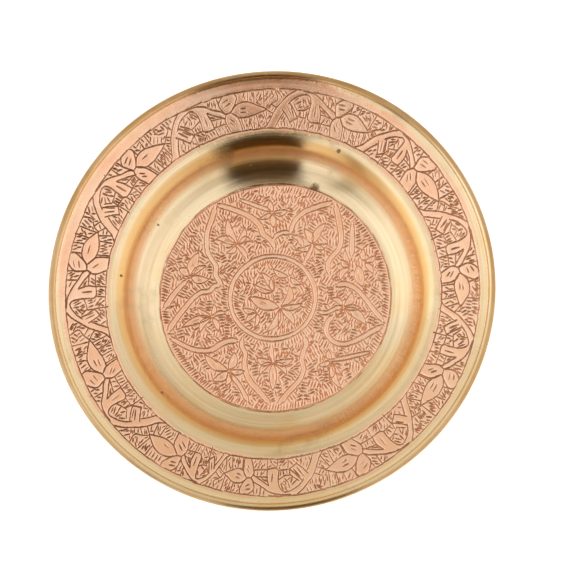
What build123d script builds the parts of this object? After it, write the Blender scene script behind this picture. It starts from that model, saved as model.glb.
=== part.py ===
"""Round engraved brass tray, spun from one sheet with a wired edge.

Frame: origin at the centre of the underside of the floor, where the tray rests
on a table; +Z is up, along the tray's axis of revolution. Millimetres.

Pieces
  dish                 spun brass sheet: floor, cavetto wall, rounded shoulder,
                       sloping flange and the curl that is rolled round the wire
  rim_wire             round wire hoop that the curl grips and that stiffens the edge
  floor_copper_layer   thin copper wash on the engraved field of the floor
  flange_copper_layer  thin copper wash on the engraved band of the flange
"""
import math
import os

from build123d import *

os.makedirs("parts", exist_ok=True)

# ---------------------------------------------------------------- driving dimensions
overall_diameter = 250.0      # over the rolled edge
sheet_thickness = 0.9         # brass sheet, about 20 gauge
wire_diameter = 2.0           # wire inside the rolled edge

floor_flat_radius = 62.0      # where the flat floor ends and the cavetto starts to rise
foot_radius = 22.0            # concave turn from floor to wall, on the upper face
wall_angle = 62.0             # steepness of the cavetto wall, from horizontal
shoulder_radius = 13.0        # rounded shoulder between wall and flange, on the upper face
well_depth = 19.5             # floor's upper face to the start of the flange
flange_angle = 10.5           # rise of the flange towards the edge

bead_setback = 0.5            # how far the wire's centre sits above the sheet's mid-plane
bead_turn_radius = 1.2        # mid-plane radius of the small upward turn before the curl
curl_end_tilt = -146.0        # where the curl's cut edge stops, from the flange's direction

copper_thickness = 0.1        # copper wash, let flush into the upper face
floor_copper_radius = 65.5    # edge of the engraved field, just past the flat floor
flange_copper_inner = 92.0    # inner edge of the copper band on the flange
flange_copper_outer = 118.2   # outer edge of the copper band on the flange

# ---------------------------------------------------------------- derived geometry
w = math.radians(wall_angle)
f = math.radians(flange_angle)
t = sheet_thickness
half = t / 2.0

# upper face of the sheet, from the floor outwards, in the (radius, height) plane
foot_centre = (floor_flat_radius, t + foot_radius)
copper_mid_radius = (floor_flat_radius + floor_copper_radius) / 2.0
foot_rise = foot_radius * (1.0 - math.cos(w))
shoulder_drop = shoulder_radius * (math.cos(f) - math.cos(w))
wall_length = (well_depth - foot_rise - shoulder_drop) / math.sin(w)

wall_low = (floor_flat_radius + foot_radius * math.sin(w), t + foot_rise)
wall_high = (
    wall_low[0] + wall_length * math.cos(w),
    wall_low[1] + wall_length * math.sin(w),
)
shoulder_centre = (
    wall_high[0] + shoulder_radius * math.sin(w),
    wall_high[1] - shoulder_radius * math.cos(w),
)
flange_start = (
    shoulder_centre[0] - shoulder_radius * math.sin(f),
    shoulder_centre[1] + shoulder_radius * math.cos(f),
)

along = (math.cos(f), math.sin(f))        # outwards along the flange
normal = (-math.sin(f), math.cos(f))      # up, square to the flange


def flange_point(radius, depth=0.0):
    """Point on the flange at this radius of its upper face, depth below that face."""
    s = (radius - flange_start[0]) / along[0]
    return (
        flange_start[0] + s * along[0] - depth * normal[0],
        flange_start[1] + s * along[1] - depth * normal[1],
    )


def foot_point(radius, depth=0.0):
    """Point on the foot of the wall at this radius, depth below its upper face."""
    r = foot_radius + depth
    return (radius, foot_centre[1] - math.sqrt(r * r - (radius - foot_centre[0]) ** 2))


def polar(centre, radius, angle):
    """Point at this radius and angle (degrees) from a centre."""
    a = math.radians(angle)
    return (centre[0] + radius * math.cos(a), centre[1] + radius * math.sin(a))


# the wired edge: the curl's mid-plane radius, and the wire's centre, placed so that
# the curl reaches the overall diameter and stands a little proud of the flange
curl_mid = wire_diameter / 2.0 + half
curl_outer = wire_diameter / 2.0 + t
wire_centre_radius = overall_diameter / 2.0 - curl_outer

mid_start = (flange_start[0] - half * normal[0], flange_start[1] - half * normal[1])
s_wire = (wire_centre_radius - mid_start[0] - bead_setback * normal[0]) / along[0]
wire_centre = (
    mid_start[0] + s_wire * along[0] + bead_setback * normal[0],
    mid_start[1] + s_wire * along[1] + bead_setback * normal[1],
)

# the small upward turn that leads from the flange into the curl (its centre lies
# above the sheet), tangent to the flange and to the curl
back = math.sqrt(
    (bead_turn_radius + curl_mid) ** 2 - (bead_turn_radius - bead_setback) ** 2
)
turn_centre = (
    wire_centre[0] - back * along[0] + (bead_turn_radius - bead_setback) * normal[0],
    wire_centre[1] - back * along[1] + (bead_turn_radius - bead_setback) * normal[1],
)
turn_to_wire = math.degrees(
    math.atan2(wire_centre[1] - turn_centre[1], wire_centre[0] - turn_centre[0])
)
turn_start_angle = -90.0 + flange_angle           # tangent to the flange
turn_end_angle = turn_to_wire                     # tangent to the curl
curl_start_angle = turn_to_wire + 180.0
curl_end_angle = curl_end_tilt + flange_angle
curl_sweep = curl_start_angle - curl_end_angle    # the curl turns over the wire, outwards
curl_mid_angle = curl_start_angle - curl_sweep / 2.0
turn_mid_angle = (turn_start_angle + turn_end_angle) / 2.0

# ---------------------------------------------------------------- dish
with BuildPart() as dish:
    with BuildSketch(Plane.XZ) as dish_profile:
        with BuildLine():
            # underside, from the axis outwards
            foot_low_start = (floor_flat_radius, 0.0)
            foot_low_mid = polar(foot_centre, foot_radius + t, -90.0 + wall_angle / 2.0)
            foot_low_end = polar(foot_centre, foot_radius + t, -90.0 + wall_angle)
            shoulder_low_start = polar(
                shoulder_centre, shoulder_radius - t, 90.0 + wall_angle
            )
            shoulder_low_mid = polar(
                shoulder_centre,
                shoulder_radius - t,
                90.0 + (wall_angle + flange_angle) / 2.0,
            )
            shoulder_low_end = polar(
                shoulder_centre, shoulder_radius - t, 90.0 + flange_angle
            )
            turn_low_start = polar(turn_centre, bead_turn_radius + half, turn_start_angle)
            turn_low_mid = polar(turn_centre, bead_turn_radius + half, turn_mid_angle)
            turn_low_end = polar(turn_centre, bead_turn_radius + half, turn_end_angle)
            Line((0.0, 0.0), foot_low_start)
            ThreePointArc(foot_low_start, foot_low_mid, foot_low_end)
            Line(foot_low_end, shoulder_low_start)
            ThreePointArc(shoulder_low_start, shoulder_low_mid, shoulder_low_end)
            Line(shoulder_low_end, turn_low_start)
            ThreePointArc(turn_low_start, turn_low_mid, turn_low_end)
            # inside of the curl, round the wire to the cut edge
            curl_in_mid = polar(wire_centre, curl_mid - half, curl_mid_angle)
            curl_in_end = polar(wire_centre, curl_mid - half, curl_end_angle)
            ThreePointArc(turn_low_end, curl_in_mid, curl_in_end)
            # the sheet's cut edge, and back over the outside of the curl
            curl_out_start = polar(wire_centre, curl_mid + half, curl_start_angle)
            curl_out_mid = polar(wire_centre, curl_mid + half, curl_mid_angle)
            curl_out_end = polar(wire_centre, curl_mid + half, curl_end_angle)
            Line(curl_in_end, curl_out_end)
            ThreePointArc(curl_out_end, curl_out_mid, curl_out_start)
            # the upward turn and the flange, with the step for the copper band
            turn_up_mid = polar(turn_centre, bead_turn_radius - half, turn_mid_angle)
            turn_up_start = polar(turn_centre, bead_turn_radius - half, turn_start_angle)
            ThreePointArc(curl_out_start, turn_up_mid, turn_up_start)
            Polyline(
                turn_up_start,
                flange_point(flange_copper_outer),
                flange_point(flange_copper_outer, copper_thickness),
                flange_point(flange_copper_inner, copper_thickness),
                flange_point(flange_copper_inner),
                flange_start,
            )
            # shoulder, wall and foot
            ThreePointArc(
                flange_start,
                polar(
                    shoulder_centre,
                    shoulder_radius,
                    90.0 + (wall_angle + flange_angle) / 2.0,
                ),
                wall_high,
            )
            Line(wall_high, wall_low)
            ThreePointArc(
                wall_low,
                polar(foot_centre, foot_radius, -90.0 + wall_angle / 2.0),
                foot_point(floor_copper_radius),
            )
            # floor, with the step for the copper field, which runs just up the foot
            Line(
                foot_point(floor_copper_radius),
                foot_point(floor_copper_radius, copper_thickness),
            )
            ThreePointArc(
                foot_point(floor_copper_radius, copper_thickness),
                foot_point(copper_mid_radius, copper_thickness),
                foot_point(floor_flat_radius, copper_thickness),
            )
            Polyline(
                foot_point(floor_flat_radius, copper_thickness),
                (0.0, t - copper_thickness),
                (0.0, 0.0),
            )
        make_face()
    revolve(axis=Axis.Z)
dish.part.label = "dish"
export_step(dish.part, "parts/dish.step")

# ---------------------------------------------------------------- rim wire
with BuildPart() as rim_wire:
    with BuildSketch(Plane.XZ):
        with Locations(wire_centre):
            Circle(wire_diameter / 2.0)
    revolve(axis=Axis.Z)
rim_wire.part.label = "rim_wire"
export_step(rim_wire.part, "parts/rim_wire.step")

# ---------------------------------------------------------------- copper on the floor
with BuildPart() as floor_copper_layer:
    with BuildSketch(Plane.XZ):
        with BuildLine():
            Polyline(
                foot_point(floor_flat_radius),
                (0.0, t),
                (0.0, t - copper_thickness),
                foot_point(floor_flat_radius, copper_thickness),
            )
            ThreePointArc(
                foot_point(floor_flat_radius, copper_thickness),
                foot_point(copper_mid_radius, copper_thickness),
                foot_point(floor_copper_radius, copper_thickness),
            )
            Line(
                foot_point(floor_copper_radius, copper_thickness),
                foot_point(floor_copper_radius),
            )
            ThreePointArc(
                foot_point(floor_copper_radius),
                foot_point(copper_mid_radius),
                foot_point(floor_flat_radius),
            )
        make_face()
    revolve(axis=Axis.Z)
floor_copper_layer.part.label = "floor_copper_layer"
export_step(floor_copper_layer.part, "parts/floor_copper_layer.step")

# ---------------------------------------------------------------- copper on the flange
with BuildPart() as flange_copper_layer:
    with BuildSketch(Plane.XZ):
        with BuildLine():
            Polyline(
                flange_point(flange_copper_inner),
                flange_point(flange_copper_outer),
                flange_point(flange_copper_outer, copper_thickness),
                flange_point(flange_copper_inner, copper_thickness),
                close=True,
            )
        make_face()
    revolve(axis=Axis.Z)
flange_copper_layer.part.label = "flange_copper_layer"
export_step(flange_copper_layer.part, "parts/flange_copper_layer.step")

# ---------------------------------------------------------------- key figures
print(f"flange starts at r {flange_start[0]:.3f}, z {flange_start[1]:.3f}")
print(f"wall from r {wall_low[0]:.3f}, z {wall_low[1]:.3f} to r {wall_high[0]:.3f}, z {wall_high[1]:.3f}")
print(f"shoulder centre r {shoulder_centre[0]:.3f}, z {shoulder_centre[1]:.3f}")
print(f"wire centre r {wire_centre[0]:.3f}, z {wire_centre[1]:.3f}")
print(f"turn centre r {turn_centre[0]:.3f}, z {turn_centre[1]:.3f}, turn to {turn_end_angle:.2f}")
print(f"overall height {wire_centre[1] + curl_outer:.3f}")
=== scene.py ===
import math

import bmesh
import bpy
import numpy as np
from mathutils import Matrix, Vector


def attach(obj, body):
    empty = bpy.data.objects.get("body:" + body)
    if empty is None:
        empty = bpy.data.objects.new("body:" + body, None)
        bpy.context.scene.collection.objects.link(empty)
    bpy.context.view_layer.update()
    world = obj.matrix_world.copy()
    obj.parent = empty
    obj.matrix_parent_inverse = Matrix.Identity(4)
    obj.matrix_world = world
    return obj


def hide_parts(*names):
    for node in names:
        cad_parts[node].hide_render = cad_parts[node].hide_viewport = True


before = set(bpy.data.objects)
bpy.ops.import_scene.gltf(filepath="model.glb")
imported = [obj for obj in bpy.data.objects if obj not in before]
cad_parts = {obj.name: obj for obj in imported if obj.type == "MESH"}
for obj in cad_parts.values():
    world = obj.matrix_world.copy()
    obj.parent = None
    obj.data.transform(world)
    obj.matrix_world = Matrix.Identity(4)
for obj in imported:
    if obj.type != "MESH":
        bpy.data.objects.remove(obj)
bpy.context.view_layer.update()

MM = 0.001

# ------------------------------------------------------------------ driving sizes, mm
# the tray's own profile, the same as the CAD model's
R_OUT = 125.0
SHEET = 0.9
R_WIRE = 1.0
R_FLOOR = 62.0
R_FOOT = 22.0
WALL = math.radians(62.0)
R_SHOULDER = 13.0
WELL = 19.5
FLANGE = math.radians(10.5)
SETBACK = 0.5
R_TURN = 1.2
CURL_END = math.radians(-146.0) + FLANGE
R_FLOOR_FIELD = 65.5        # edge of the floor's copper piece
R_BAND_IN = 92.0            # edges of the flange's copper piece
R_BAND_OUT = 118.2
BED = 0.6                   # how deep the copper pieces are bedded in the sheet

half = SHEET / 2
foot_c = np.array([R_FLOOR, SHEET + R_FOOT])
foot_rise = R_FOOT * (1 - math.cos(WALL))
drop = R_SHOULDER * (math.cos(FLANGE) - math.cos(WALL))
wall_len = (WELL - foot_rise - drop) / math.sin(WALL)
wall_lo = np.array([R_FLOOR + R_FOOT * math.sin(WALL), SHEET + foot_rise])
wall_hi = wall_lo + wall_len * np.array([math.cos(WALL), math.sin(WALL)])
sho_c = wall_hi + R_SHOULDER * np.array([math.sin(WALL), -math.cos(WALL)])
fl_0 = sho_c + R_SHOULDER * np.array([-math.sin(FLANGE), math.cos(FLANGE)])
along = np.array([math.cos(FLANGE), math.sin(FLANGE)])
norm = np.array([-math.sin(FLANGE), math.cos(FLANGE)])
curl_mid = R_WIRE + half
mid_0 = fl_0 - half * norm
wire_r = R_OUT - R_WIRE - SHEET
wire_c = mid_0 + (wire_r - mid_0[0] - SETBACK * norm[0]) / along[0] * along + SETBACK * norm
back = math.sqrt((R_TURN + curl_mid) ** 2 - (R_TURN - SETBACK) ** 2)
turn_c = wire_c - back * along + (R_TURN - SETBACK) * norm
turn_end = math.atan2(wire_c[1] - turn_c[1], wire_c[0] - turn_c[0])
turn_start = FLANGE - math.pi / 2
curl_start = turn_end + math.pi


def flange_z(r):
    """Height of the flange's upper face at radius r."""
    return fl_0[1] + (r - fl_0[0]) * math.tan(FLANGE)


def well_z(r):
    """Height of the well's floor at radius r: flat, then turning up into the foot of the wall."""
    d = np.clip(np.asarray(r, float) - R_FLOOR, 0, R_FOOT * 0.9)
    return SHEET + R_FOOT - np.sqrt(R_FOOT ** 2 - d * d)


def arc(c, r, a0, a1, n):
    a = np.linspace(a0, a1, n)
    return np.stack([c[0] + r * np.cos(a), c[1] + r * np.sin(a)], 1)


def seg(p, q, n):
    t = np.linspace(0, 1, n)[:, None]
    return np.asarray(p) * (1 - t) + np.asarray(q) * t


def joined(*parts):
    out = [parts[0]]
    for p in parts[1:]:
        p = np.asarray(p)
        if np.linalg.norm(p[0] - out[-1][-1]) < 1e-6:
            p = p[1:]
        out.append(p)
    return np.concatenate(out)


def warp(co):
    """The slight unevenness of a hand-finished tray: the sheet's rim isn't quite flat or round."""
    r = np.hypot(co[:, 0], co[:, 1])
    a = np.arctan2(co[:, 1], co[:, 0])
    k = np.clip((r - 64.0) / 61.0, 0, 1)
    k = k * k * (3 - 2 * k)
    dz = k * (0.16 * np.cos(2 * a + 0.7) + 0.07 * np.cos(3 * a + 2.0) + 0.025 * np.cos(5 * a + 0.4) + 0.012 * np.cos(9 * a) - 0.22)
    w = np.exp(-((r - 82.0) / 9.0) ** 2)
    dr = w * (0.10 * np.cos(2 * a + 2.1) + 0.05 * np.cos(4 * a + 1.0) + 0.02 * np.cos(7 * a + 0.3) + 0.012 * np.cos(13 * a + 1.3))
    dr = dr + k * (0.12 * np.cos(2 * a - 0.4) - 0.12 + 0.05 * np.cos(5 * a + 1.1) - 0.05)
    out = co.copy()
    s = 1 + dr / np.maximum(r, 1e-6)
    out[:, 0] *= s
    out[:, 1] *= s
    out[:, 2] += dz
    return out


# ------------------------------------------------------------------ mesh helpers
def make_mesh(name, co, *face_sets, smooth=True):
    """A mesh object from points in mm and arrays of faces, one array for each number of corners."""
    me = bpy.data.meshes.new(name)
    face_sets = [np.asarray(f, np.int32) for f in face_sets if len(f)]
    loops = np.concatenate([f.ravel() for f in face_sets])
    totals = np.concatenate([np.full(len(f), f.shape[1], np.int32) for f in face_sets])
    starts = np.concatenate([[0], np.cumsum(totals)[:-1]]).astype(np.int32)
    me.vertices.add(len(co))
    me.vertices.foreach_set("co", np.ascontiguousarray(warp(co) * MM, np.float32).ravel())
    me.loops.add(len(loops))
    me.loops.foreach_set("vertex_index", loops)
    me.polygons.add(len(totals))
    me.polygons.foreach_set("loop_start", starts)
    me.polygons.foreach_set("loop_total", totals)
    me.polygons.foreach_set("use_smooth", np.full(len(totals), smooth))
    me.update(calc_edges=True)
    me.validate()
    ob = bpy.data.objects.new(name, me)
    bpy.context.scene.collection.objects.link(ob)
    return ob


def revolve(prof, n_az, closed=False):
    """Rings of n_az points, one for each point of the profile, and the quads between them."""
    a = np.arange(n_az) * 2 * math.pi / n_az
    co = np.stack([
        prof[:, 0][:, None] * np.cos(a)[None, :],
        prof[:, 0][:, None] * np.sin(a)[None, :],
        np.repeat(prof[:, 1][:, None], n_az, 1),
    ], -1).reshape(-1, 3)
    n = len(prof)
    i = np.arange(n if closed else n - 1)[:, None]
    j = np.arange(n_az)[None, :]
    i2, j2 = (i + 1) % n, (j + 1) % n_az
    quads = np.stack([i * n_az + j, i2 * n_az + j, i2 * n_az + j2, i * n_az + j2], -1).reshape(-1, 4)
    return co, quads


def fan(ring, centre, flip=False):
    """Triangles from a ring of point numbers to one centre point."""
    ring = np.asarray(ring)
    nxt = np.roll(ring, -1)
    t = np.stack([ring, nxt, np.full(len(ring), centre)], 1)
    return t[:, ::-1] if flip else t


def outward(ob, sharp=42):
    """Face normals outwards, and crisp edges where the surface really turns a corner."""
    me = ob.data
    n = len(me.vertices)
    co = np.empty(n * 3, np.float32)
    me.vertices.foreach_get("co", co)
    co = co.reshape(-1, 3).astype(np.float64)
    me.calc_loop_triangles()
    tri = np.empty(len(me.loop_triangles) * 3, np.int32)
    me.loop_triangles.foreach_get("vertices", tri)
    a, b, c = (co[tri.reshape(-1, 3)[:, k]] for k in range(3))
    if (a * np.cross(b, c)).sum() < 0:
        me.flip_normals()
    if sharp:
        me.set_sharp_from_angle(angle=math.radians(sharp))


def point_values(ob, name, values):
    a = ob.data.attributes.new(name, "FLOAT", "POINT")
    a.data.foreach_set("value", np.ascontiguousarray(values, np.float32).ravel())


def sample(field, plate, u, v):
    """Bilinear reading of a plate's map."""
    x = (u - plate.u0) / plate.step_u
    y = np.clip((v - plate.v0) / plate.step, 0, plate.nv - 1.001)
    x0 = np.floor(x).astype(int)
    y0 = np.floor(y).astype(int)
    fx, fy = x - x0, y - y0
    if plate.wrap:
        xa, xb = x0 % plate.nu, (x0 + 1) % plate.nu
    else:
        xa = np.clip(x0, 0, plate.nu - 1)
        xb = np.clip(x0 + 1, 0, plate.nu - 1)
    yb = y0 + 1
    return (field[y0, xa] * (1 - fx) * (1 - fy) + field[y0, xb] * fx * (1 - fy)
            + field[yb, xa] * (1 - fx) * fy + field[yb, xb] * fx * fy)


# ------------------------------------------------------------------ engraving
class Plate:
    """A map of the metal's surface in mm. Strokes are cut into it one chisel mark at a time.

    u and v are mm on the plate; cut is the depth below the surface, burr is the metal thrown up
    beside a mark, ink is how dark the mark has gone."""

    def __init__(self, u0, u1, v0, v1, step, seed, wrap=False):
        self.u0, self.v0, self.step, self.wrap = u0, v0, step, wrap
        self.nu = int(round((u1 - u0) / step))
        self.nv = int(round((v1 - v0) / step)) + 1
        if wrap:
            self.step_u = (u1 - u0) / self.nu
        else:
            self.nu += 1
            self.step_u = step
        self.cut = np.zeros((self.nv, self.nu), np.float32)
        self.burr = np.zeros((self.nv, self.nu), np.float32)
        self.ink = np.zeros((self.nv, self.nu), np.float32)
        self.busy = np.zeros((self.nv, self.nu), bool)      # where no hatching may go
        self.land = np.zeros((self.nv, self.nu), bool)      # ribbons and leaves that stay plain
        self.rng = np.random.default_rng(seed)
        self.count = 0

    # -- one chisel mark: a capsule with its own width and depth at each end
    def mark(self, p, q, w0, w1, d0, d1, ink=1.0, hold=0.3):
        self.count += 1
        pad = max(w0, w1) / 2 + max(hold, 0.35)
        su, sv = self.step_u, self.step
        i0 = int(math.floor((min(p[0], q[0]) - pad - self.u0) / su))
        i1 = int(math.ceil((max(p[0], q[0]) + pad - self.u0) / su)) + 1
        j0 = max(0, int(math.floor((min(p[1], q[1]) - pad - self.v0) / sv)))
        j1 = min(self.nv, int(math.ceil((max(p[1], q[1]) + pad - self.v0) / sv)) + 1)
        if not self.wrap:
            i0, i1 = max(0, i0), min(self.nu, i1)
        if i1 <= i0 or j1 <= j0:
            return
        ii = np.arange(i0, i1)
        uu = (self.u0 + ii * su)[None, :].astype(np.float32)
        vv = (self.v0 + np.arange(j0, j1) * sv)[:, None].astype(np.float32)
        dx, dy = q[0] - p[0], q[1] - p[1]
        l2 = dx * dx + dy * dy + 1e-9
        t = np.clip(((uu - p[0]) * dx + (vv - p[1]) * dy) / l2, 0, 1)
        dist = np.hypot(uu - p[0] - t * dx, vv - p[1] - t * dy)
        hw = (w0 + (w1 - w0) * t) / 2
        dep = d0 + (d1 - d0) * t
        prof = np.clip(1 - (dist / hw) ** 2, 0, 1)
        cut = dep * prof ** 0.85
        burr = dep * 0.30 * np.exp(-((dist - hw - 0.12) / 0.16) ** 2)
        shade = ink * np.clip((1.06 - dist / hw) * 2.1, 0, 1)
        cols = ii % self.nu if self.wrap else ii
        sl = np.ix_(np.arange(j0, j1), cols)
        self.cut[sl] = np.maximum(self.cut[sl], cut)
        self.burr[sl] = np.maximum(self.burr[sl], burr)
        self.ink[sl] = np.maximum(self.ink[sl], shade)
        self.busy[sl] |= dist < hw + hold

    # -- a chased line: overlapping hits of the chisel along a smooth path
    def line(self, pts, w=0.62, d=0.26, ink=0.9, hit=1.5, smooth=True, over=0.25, hold=0.3):
        path = curve(pts, 0.25) if smooth and len(pts) > 2 else straight(pts, 0.25)
        seglen = np.hypot(*np.diff(path, axis=0).T)
        s = np.concatenate([[0], np.cumsum(seglen)])
        total = s[-1]
        if total < 0.3:
            return
        n = max(1, int(round(total / hit)))
        cuts = np.linspace(0, total, n + 1)
        cuts[1:-1] += self.rng.normal(0, 0.12 * hit, n - 1)
        for k in range(n):
            a, b = max(0, cuts[k] - over), min(total, cuts[k + 1] + over * 0.4)
            mid = 0.5 * (a + b)
            pa, pm, pb = (np.array([np.interp(x, s, path[:, 0]), np.interp(x, s, path[:, 1])]) for x in (a, mid, b))
            off = self.rng.normal(0, 0.045, 2)
            turn = self.rng.normal(0, 0.03, 2)
            ww = w * self.rng.uniform(0.82, 1.18)
            dd = d * self.rng.uniform(0.75, 1.15)
            ik = ink * self.rng.uniform(0.72, 1.08)
            self.mark(pa + off + turn, pm + off, ww * 0.8, ww * 1.05, dd * 0.75, dd, ik, hold)
            self.mark(pm + off, pb + off - turn, ww * 1.05, ww * 0.85, dd, dd * 0.8, ik, hold)

    # -- a single nick: one blow, deepest in its middle
    def nick(self, p, q, w=0.72, d=0.24, ink=0.8, hold=0.3):
        p, q = np.asarray(p, float), np.asarray(q, float)
        ww, dd = w * self.rng.uniform(0.8, 1.2), d * self.rng.uniform(0.75, 1.2)
        ik = ink * self.rng.uniform(0.6, 1.12)
        k = self.rng.uniform(0.4, 0.65)
        m = p + (q - p) * k
        self.mark(p, m, ww * 0.62, ww, dd * 0.55, dd, ik, hold)
        self.mark(m, q, ww, ww * 0.7, dd, dd * 0.6, ik, hold)

    def trimmed(self, pts, slack=0.5):
        """The longest stretch of a path that stays off the plain lands, plus a small overrun."""
        path = straight(pts, 0.15)
        i, j, ok = self.index(path[:, 0], path[:, 1])
        clear = ok & ~self.land[j, i]
        best, run = (0, 0), 0
        for k, c in enumerate(list(clear) + [False]):
            if c:
                run += 1
            else:
                if run > best[1] - best[0]:
                    best = (k - run, k)
                run = 0
        extra = int(slack / 0.15)
        return path[max(0, best[0] - extra):best[1] + extra]

    def index(self, u, v):
        i = np.round((np.asarray(u) - self.u0) / self.step_u).astype(int)
        j = np.round((np.asarray(v) - self.v0) / self.step).astype(int)
        ok = (j >= 0) & (j < self.nv)
        if self.wrap:
            i = i % self.nu
        else:
            ok &= (i >= 0) & (i < self.nu)
            i = np.clip(i, 0, self.nu - 1)
        return i, np.clip(j, 0, self.nv - 1), ok

    def free(self, p, q):
        """The longest clear run from p towards q, as a fraction of the way."""
        n = max(2, int(np.hypot(q[0] - p[0], q[1] - p[1]) / 0.15))
        t = np.linspace(0, 1, n)
        i, j, ok = self.index(p[0] + (q[0] - p[0]) * t, p[1] + (q[1] - p[1]) * t)
        clear = ok & ~self.busy[j, i]
        if not clear[0]:
            return 0.0
        stop = np.argmin(clear) if not clear.all() else n
        return (stop - 1) / (n - 1)

    # -- keep hatching off a plain land
    def keep(self, poly, grow=0.0):
        poly = np.asarray(poly, float)
        i0 = int(math.floor((poly[:, 0].min() - self.u0) / self.step_u)) - 1
        i1 = int(math.ceil((poly[:, 0].max() - self.u0) / self.step_u)) + 2
        j0 = max(0, int(math.floor((poly[:, 1].min() - self.v0) / self.step)) - 1)
        j1 = min(self.nv, int(math.ceil((poly[:, 1].max() - self.v0) / self.step)) + 2)
        if not self.wrap:
            i0, i1 = max(0, i0), min(self.nu, i1)
        if i1 <= i0 or j1 <= j0:
            return
        ii = np.arange(i0, i1)
        uu = (self.u0 + ii * self.step_u)[None, :]
        vv = (self.v0 + np.arange(j0, j1) * self.step)[:, None]
        inside = np.zeros((j1 - j0, i1 - i0), bool)
        for a, b in zip(poly, np.roll(poly, -1, 0)):
            if a[1] == b[1]:
                continue
            c = (a[1] > vv) != (b[1] > vv)
            x = (b[0] - a[0]) * (vv - a[1]) / (b[1] - a[1]) + a[0]
            inside ^= c & (uu < x)
        cols = ii % self.nu if self.wrap else ii
        sl = np.ix_(np.arange(j0, j1), cols)
        self.busy[sl] |= inside
        self.land[sl] |= inside

    # -- rows of nicks that stand off a line, as an engraver fringes an outline
    def fringe(self, pts, side, pitch=1.15, length=2.8, lean=0.2, gap=0.5, least=1.1, w=0.68, d=0.2, ink=0.75, smooth=True):
        path = curve(pts, 0.2) if smooth and len(pts) > 2 else straight(pts, 0.2)
        seglen = np.hypot(*np.diff(path, axis=0).T)
        s = np.concatenate([[0], np.cumsum(seglen)])
        x = self.rng.uniform(0, pitch)
        lean0 = self.rng.normal(lean, 0.12)
        while x < s[-1]:
            p = np.array([np.interp(x, s, path[:, 0]), np.interp(x, s, path[:, 1])])
            e = 0.3
            a = np.array([np.interp(x - e, s, path[:, 0]), np.interp(x - e, s, path[:, 1])])
            b = np.array([np.interp(x + e, s, path[:, 0]), np.interp(x + e, s, path[:, 1])])
            t = (b - a) / (np.hypot(*(b - a)) + 1e-9)
            nrm = np.array([-t[1], t[0]]) * side
            ang = lean0 + self.rng.normal(0, 0.1)
            dr = nrm * math.cos(ang) + t * math.sin(ang)
            p0 = p + nrm * gap
            q0 = p0 + dr * length * self.rng.uniform(0.75, 1.15)
            f = self.free(p0, q0)
            if f > 0:
                q0 = p0 + (q0 - p0) * f
                if np.hypot(*(q0 - p0)) > least:
                    self.nick(p0, q0, w, d, ink)
            x += pitch * self.rng.uniform(0.85, 1.2)

    # -- groups of parallel nicks in whatever is still plain
    def fill(self, cells, angle_at, pitch=1.15, length=2.8, least=1.0, w=0.68, d=0.2, ink=0.75, group=5):
        order = self.rng.permutation(len(cells))
        for k in order:
            p = cells[k] + self.rng.uniform(-0.5, 0.5, 2)
            i, j, ok = self.index(p[0], p[1])
            if not ok or self.busy[j, i]:
                continue
            th = angle_at(p) + self.rng.normal(0, 0.16)
            dr = np.array([math.cos(th), math.sin(th)])
            nr = np.array([-dr[1], dr[0]])
            size = length * self.rng.uniform(0.8, 1.15)
            for g in range(group):
                off = (g + 1) // 2 * (1 if g % 2 else -1) * pitch * self.rng.uniform(0.92, 1.1)
                c = p + nr * off + dr * self.rng.normal(0, 0.2)
                i, j, ok = self.index(c[0], c[1])
                if not ok or self.busy[j, i]:
                    continue
                fa = self.free(c, c + dr * size / 2)
                fb = self.free(c, c - dr * size / 2)
                a, b = c + dr * size / 2 * fa, c - dr * size / 2 * fb
                if np.hypot(*(a - b)) > least:
                    self.nick(a, b, w, d, ink)


def straight(pts, step):
    pts = np.asarray(pts, float)
    out = [pts[:1]]
    for a, b in zip(pts[:-1], pts[1:]):
        n = max(1, int(math.ceil(np.hypot(*(b - a)) / step)))
        out.append(a + (b - a) * (np.arange(1, n + 1) / n)[:, None])
    return np.concatenate(out)


def curve(pts, step, closed=False):
    """A smooth path through the points."""
    pts = np.asarray(pts, float)
    if closed:
        ext = np.concatenate([pts[-1:], pts, pts[:2]])
    else:
        ext = np.concatenate([2 * pts[:1] - pts[1:2], pts, 2 * pts[-1:] - pts[-2:-1]])
    out = []
    for k in range(1, len(ext) - 2):
        p0, p1, p2, p3 = ext[k - 1], ext[k], ext[k + 1], ext[k + 2]
        n = max(2, int(math.ceil(np.hypot(*(p2 - p1)) / step)))
        t = (np.arange(n) / n)[:, None]
        d1 = max(np.hypot(*(p1 - p0)), 1e-6) ** 0.5
        d2 = max(np.hypot(*(p2 - p1)), 1e-6) ** 0.5
        d3 = max(np.hypot(*(p3 - p2)), 1e-6) ** 0.5
        m1 = (p1 - p0) / d1 - (p2 - p0) / (d1 + d2) + (p2 - p1) / d2
        m2 = (p2 - p1) / d2 - (p3 - p1) / (d2 + d3) + (p3 - p2) / d3
        m1, m2 = m1 * d2, m2 * d2
        h = np.concatenate([2 * t**3 - 3 * t**2 + 1, t**3 - 2 * t**2 + t, -2 * t**3 + 3 * t**2, t**3 - t**2], 1)
        out.append(h[:, :1] * p1 + h[:, 1:2] * m1 + h[:, 2:3] * p2 + h[:, 3:4] * m2)
    if not closed:
        out.append(pts[-1:])
    return np.concatenate(out)


def offset_path(path, dist):
    t = np.gradient(path, axis=0)
    t /= np.maximum(np.hypot(t[:, 0], t[:, 1]), 1e-9)[:, None]
    return path + np.stack([-t[:, 1], t[:, 0]], 1) * dist


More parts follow.
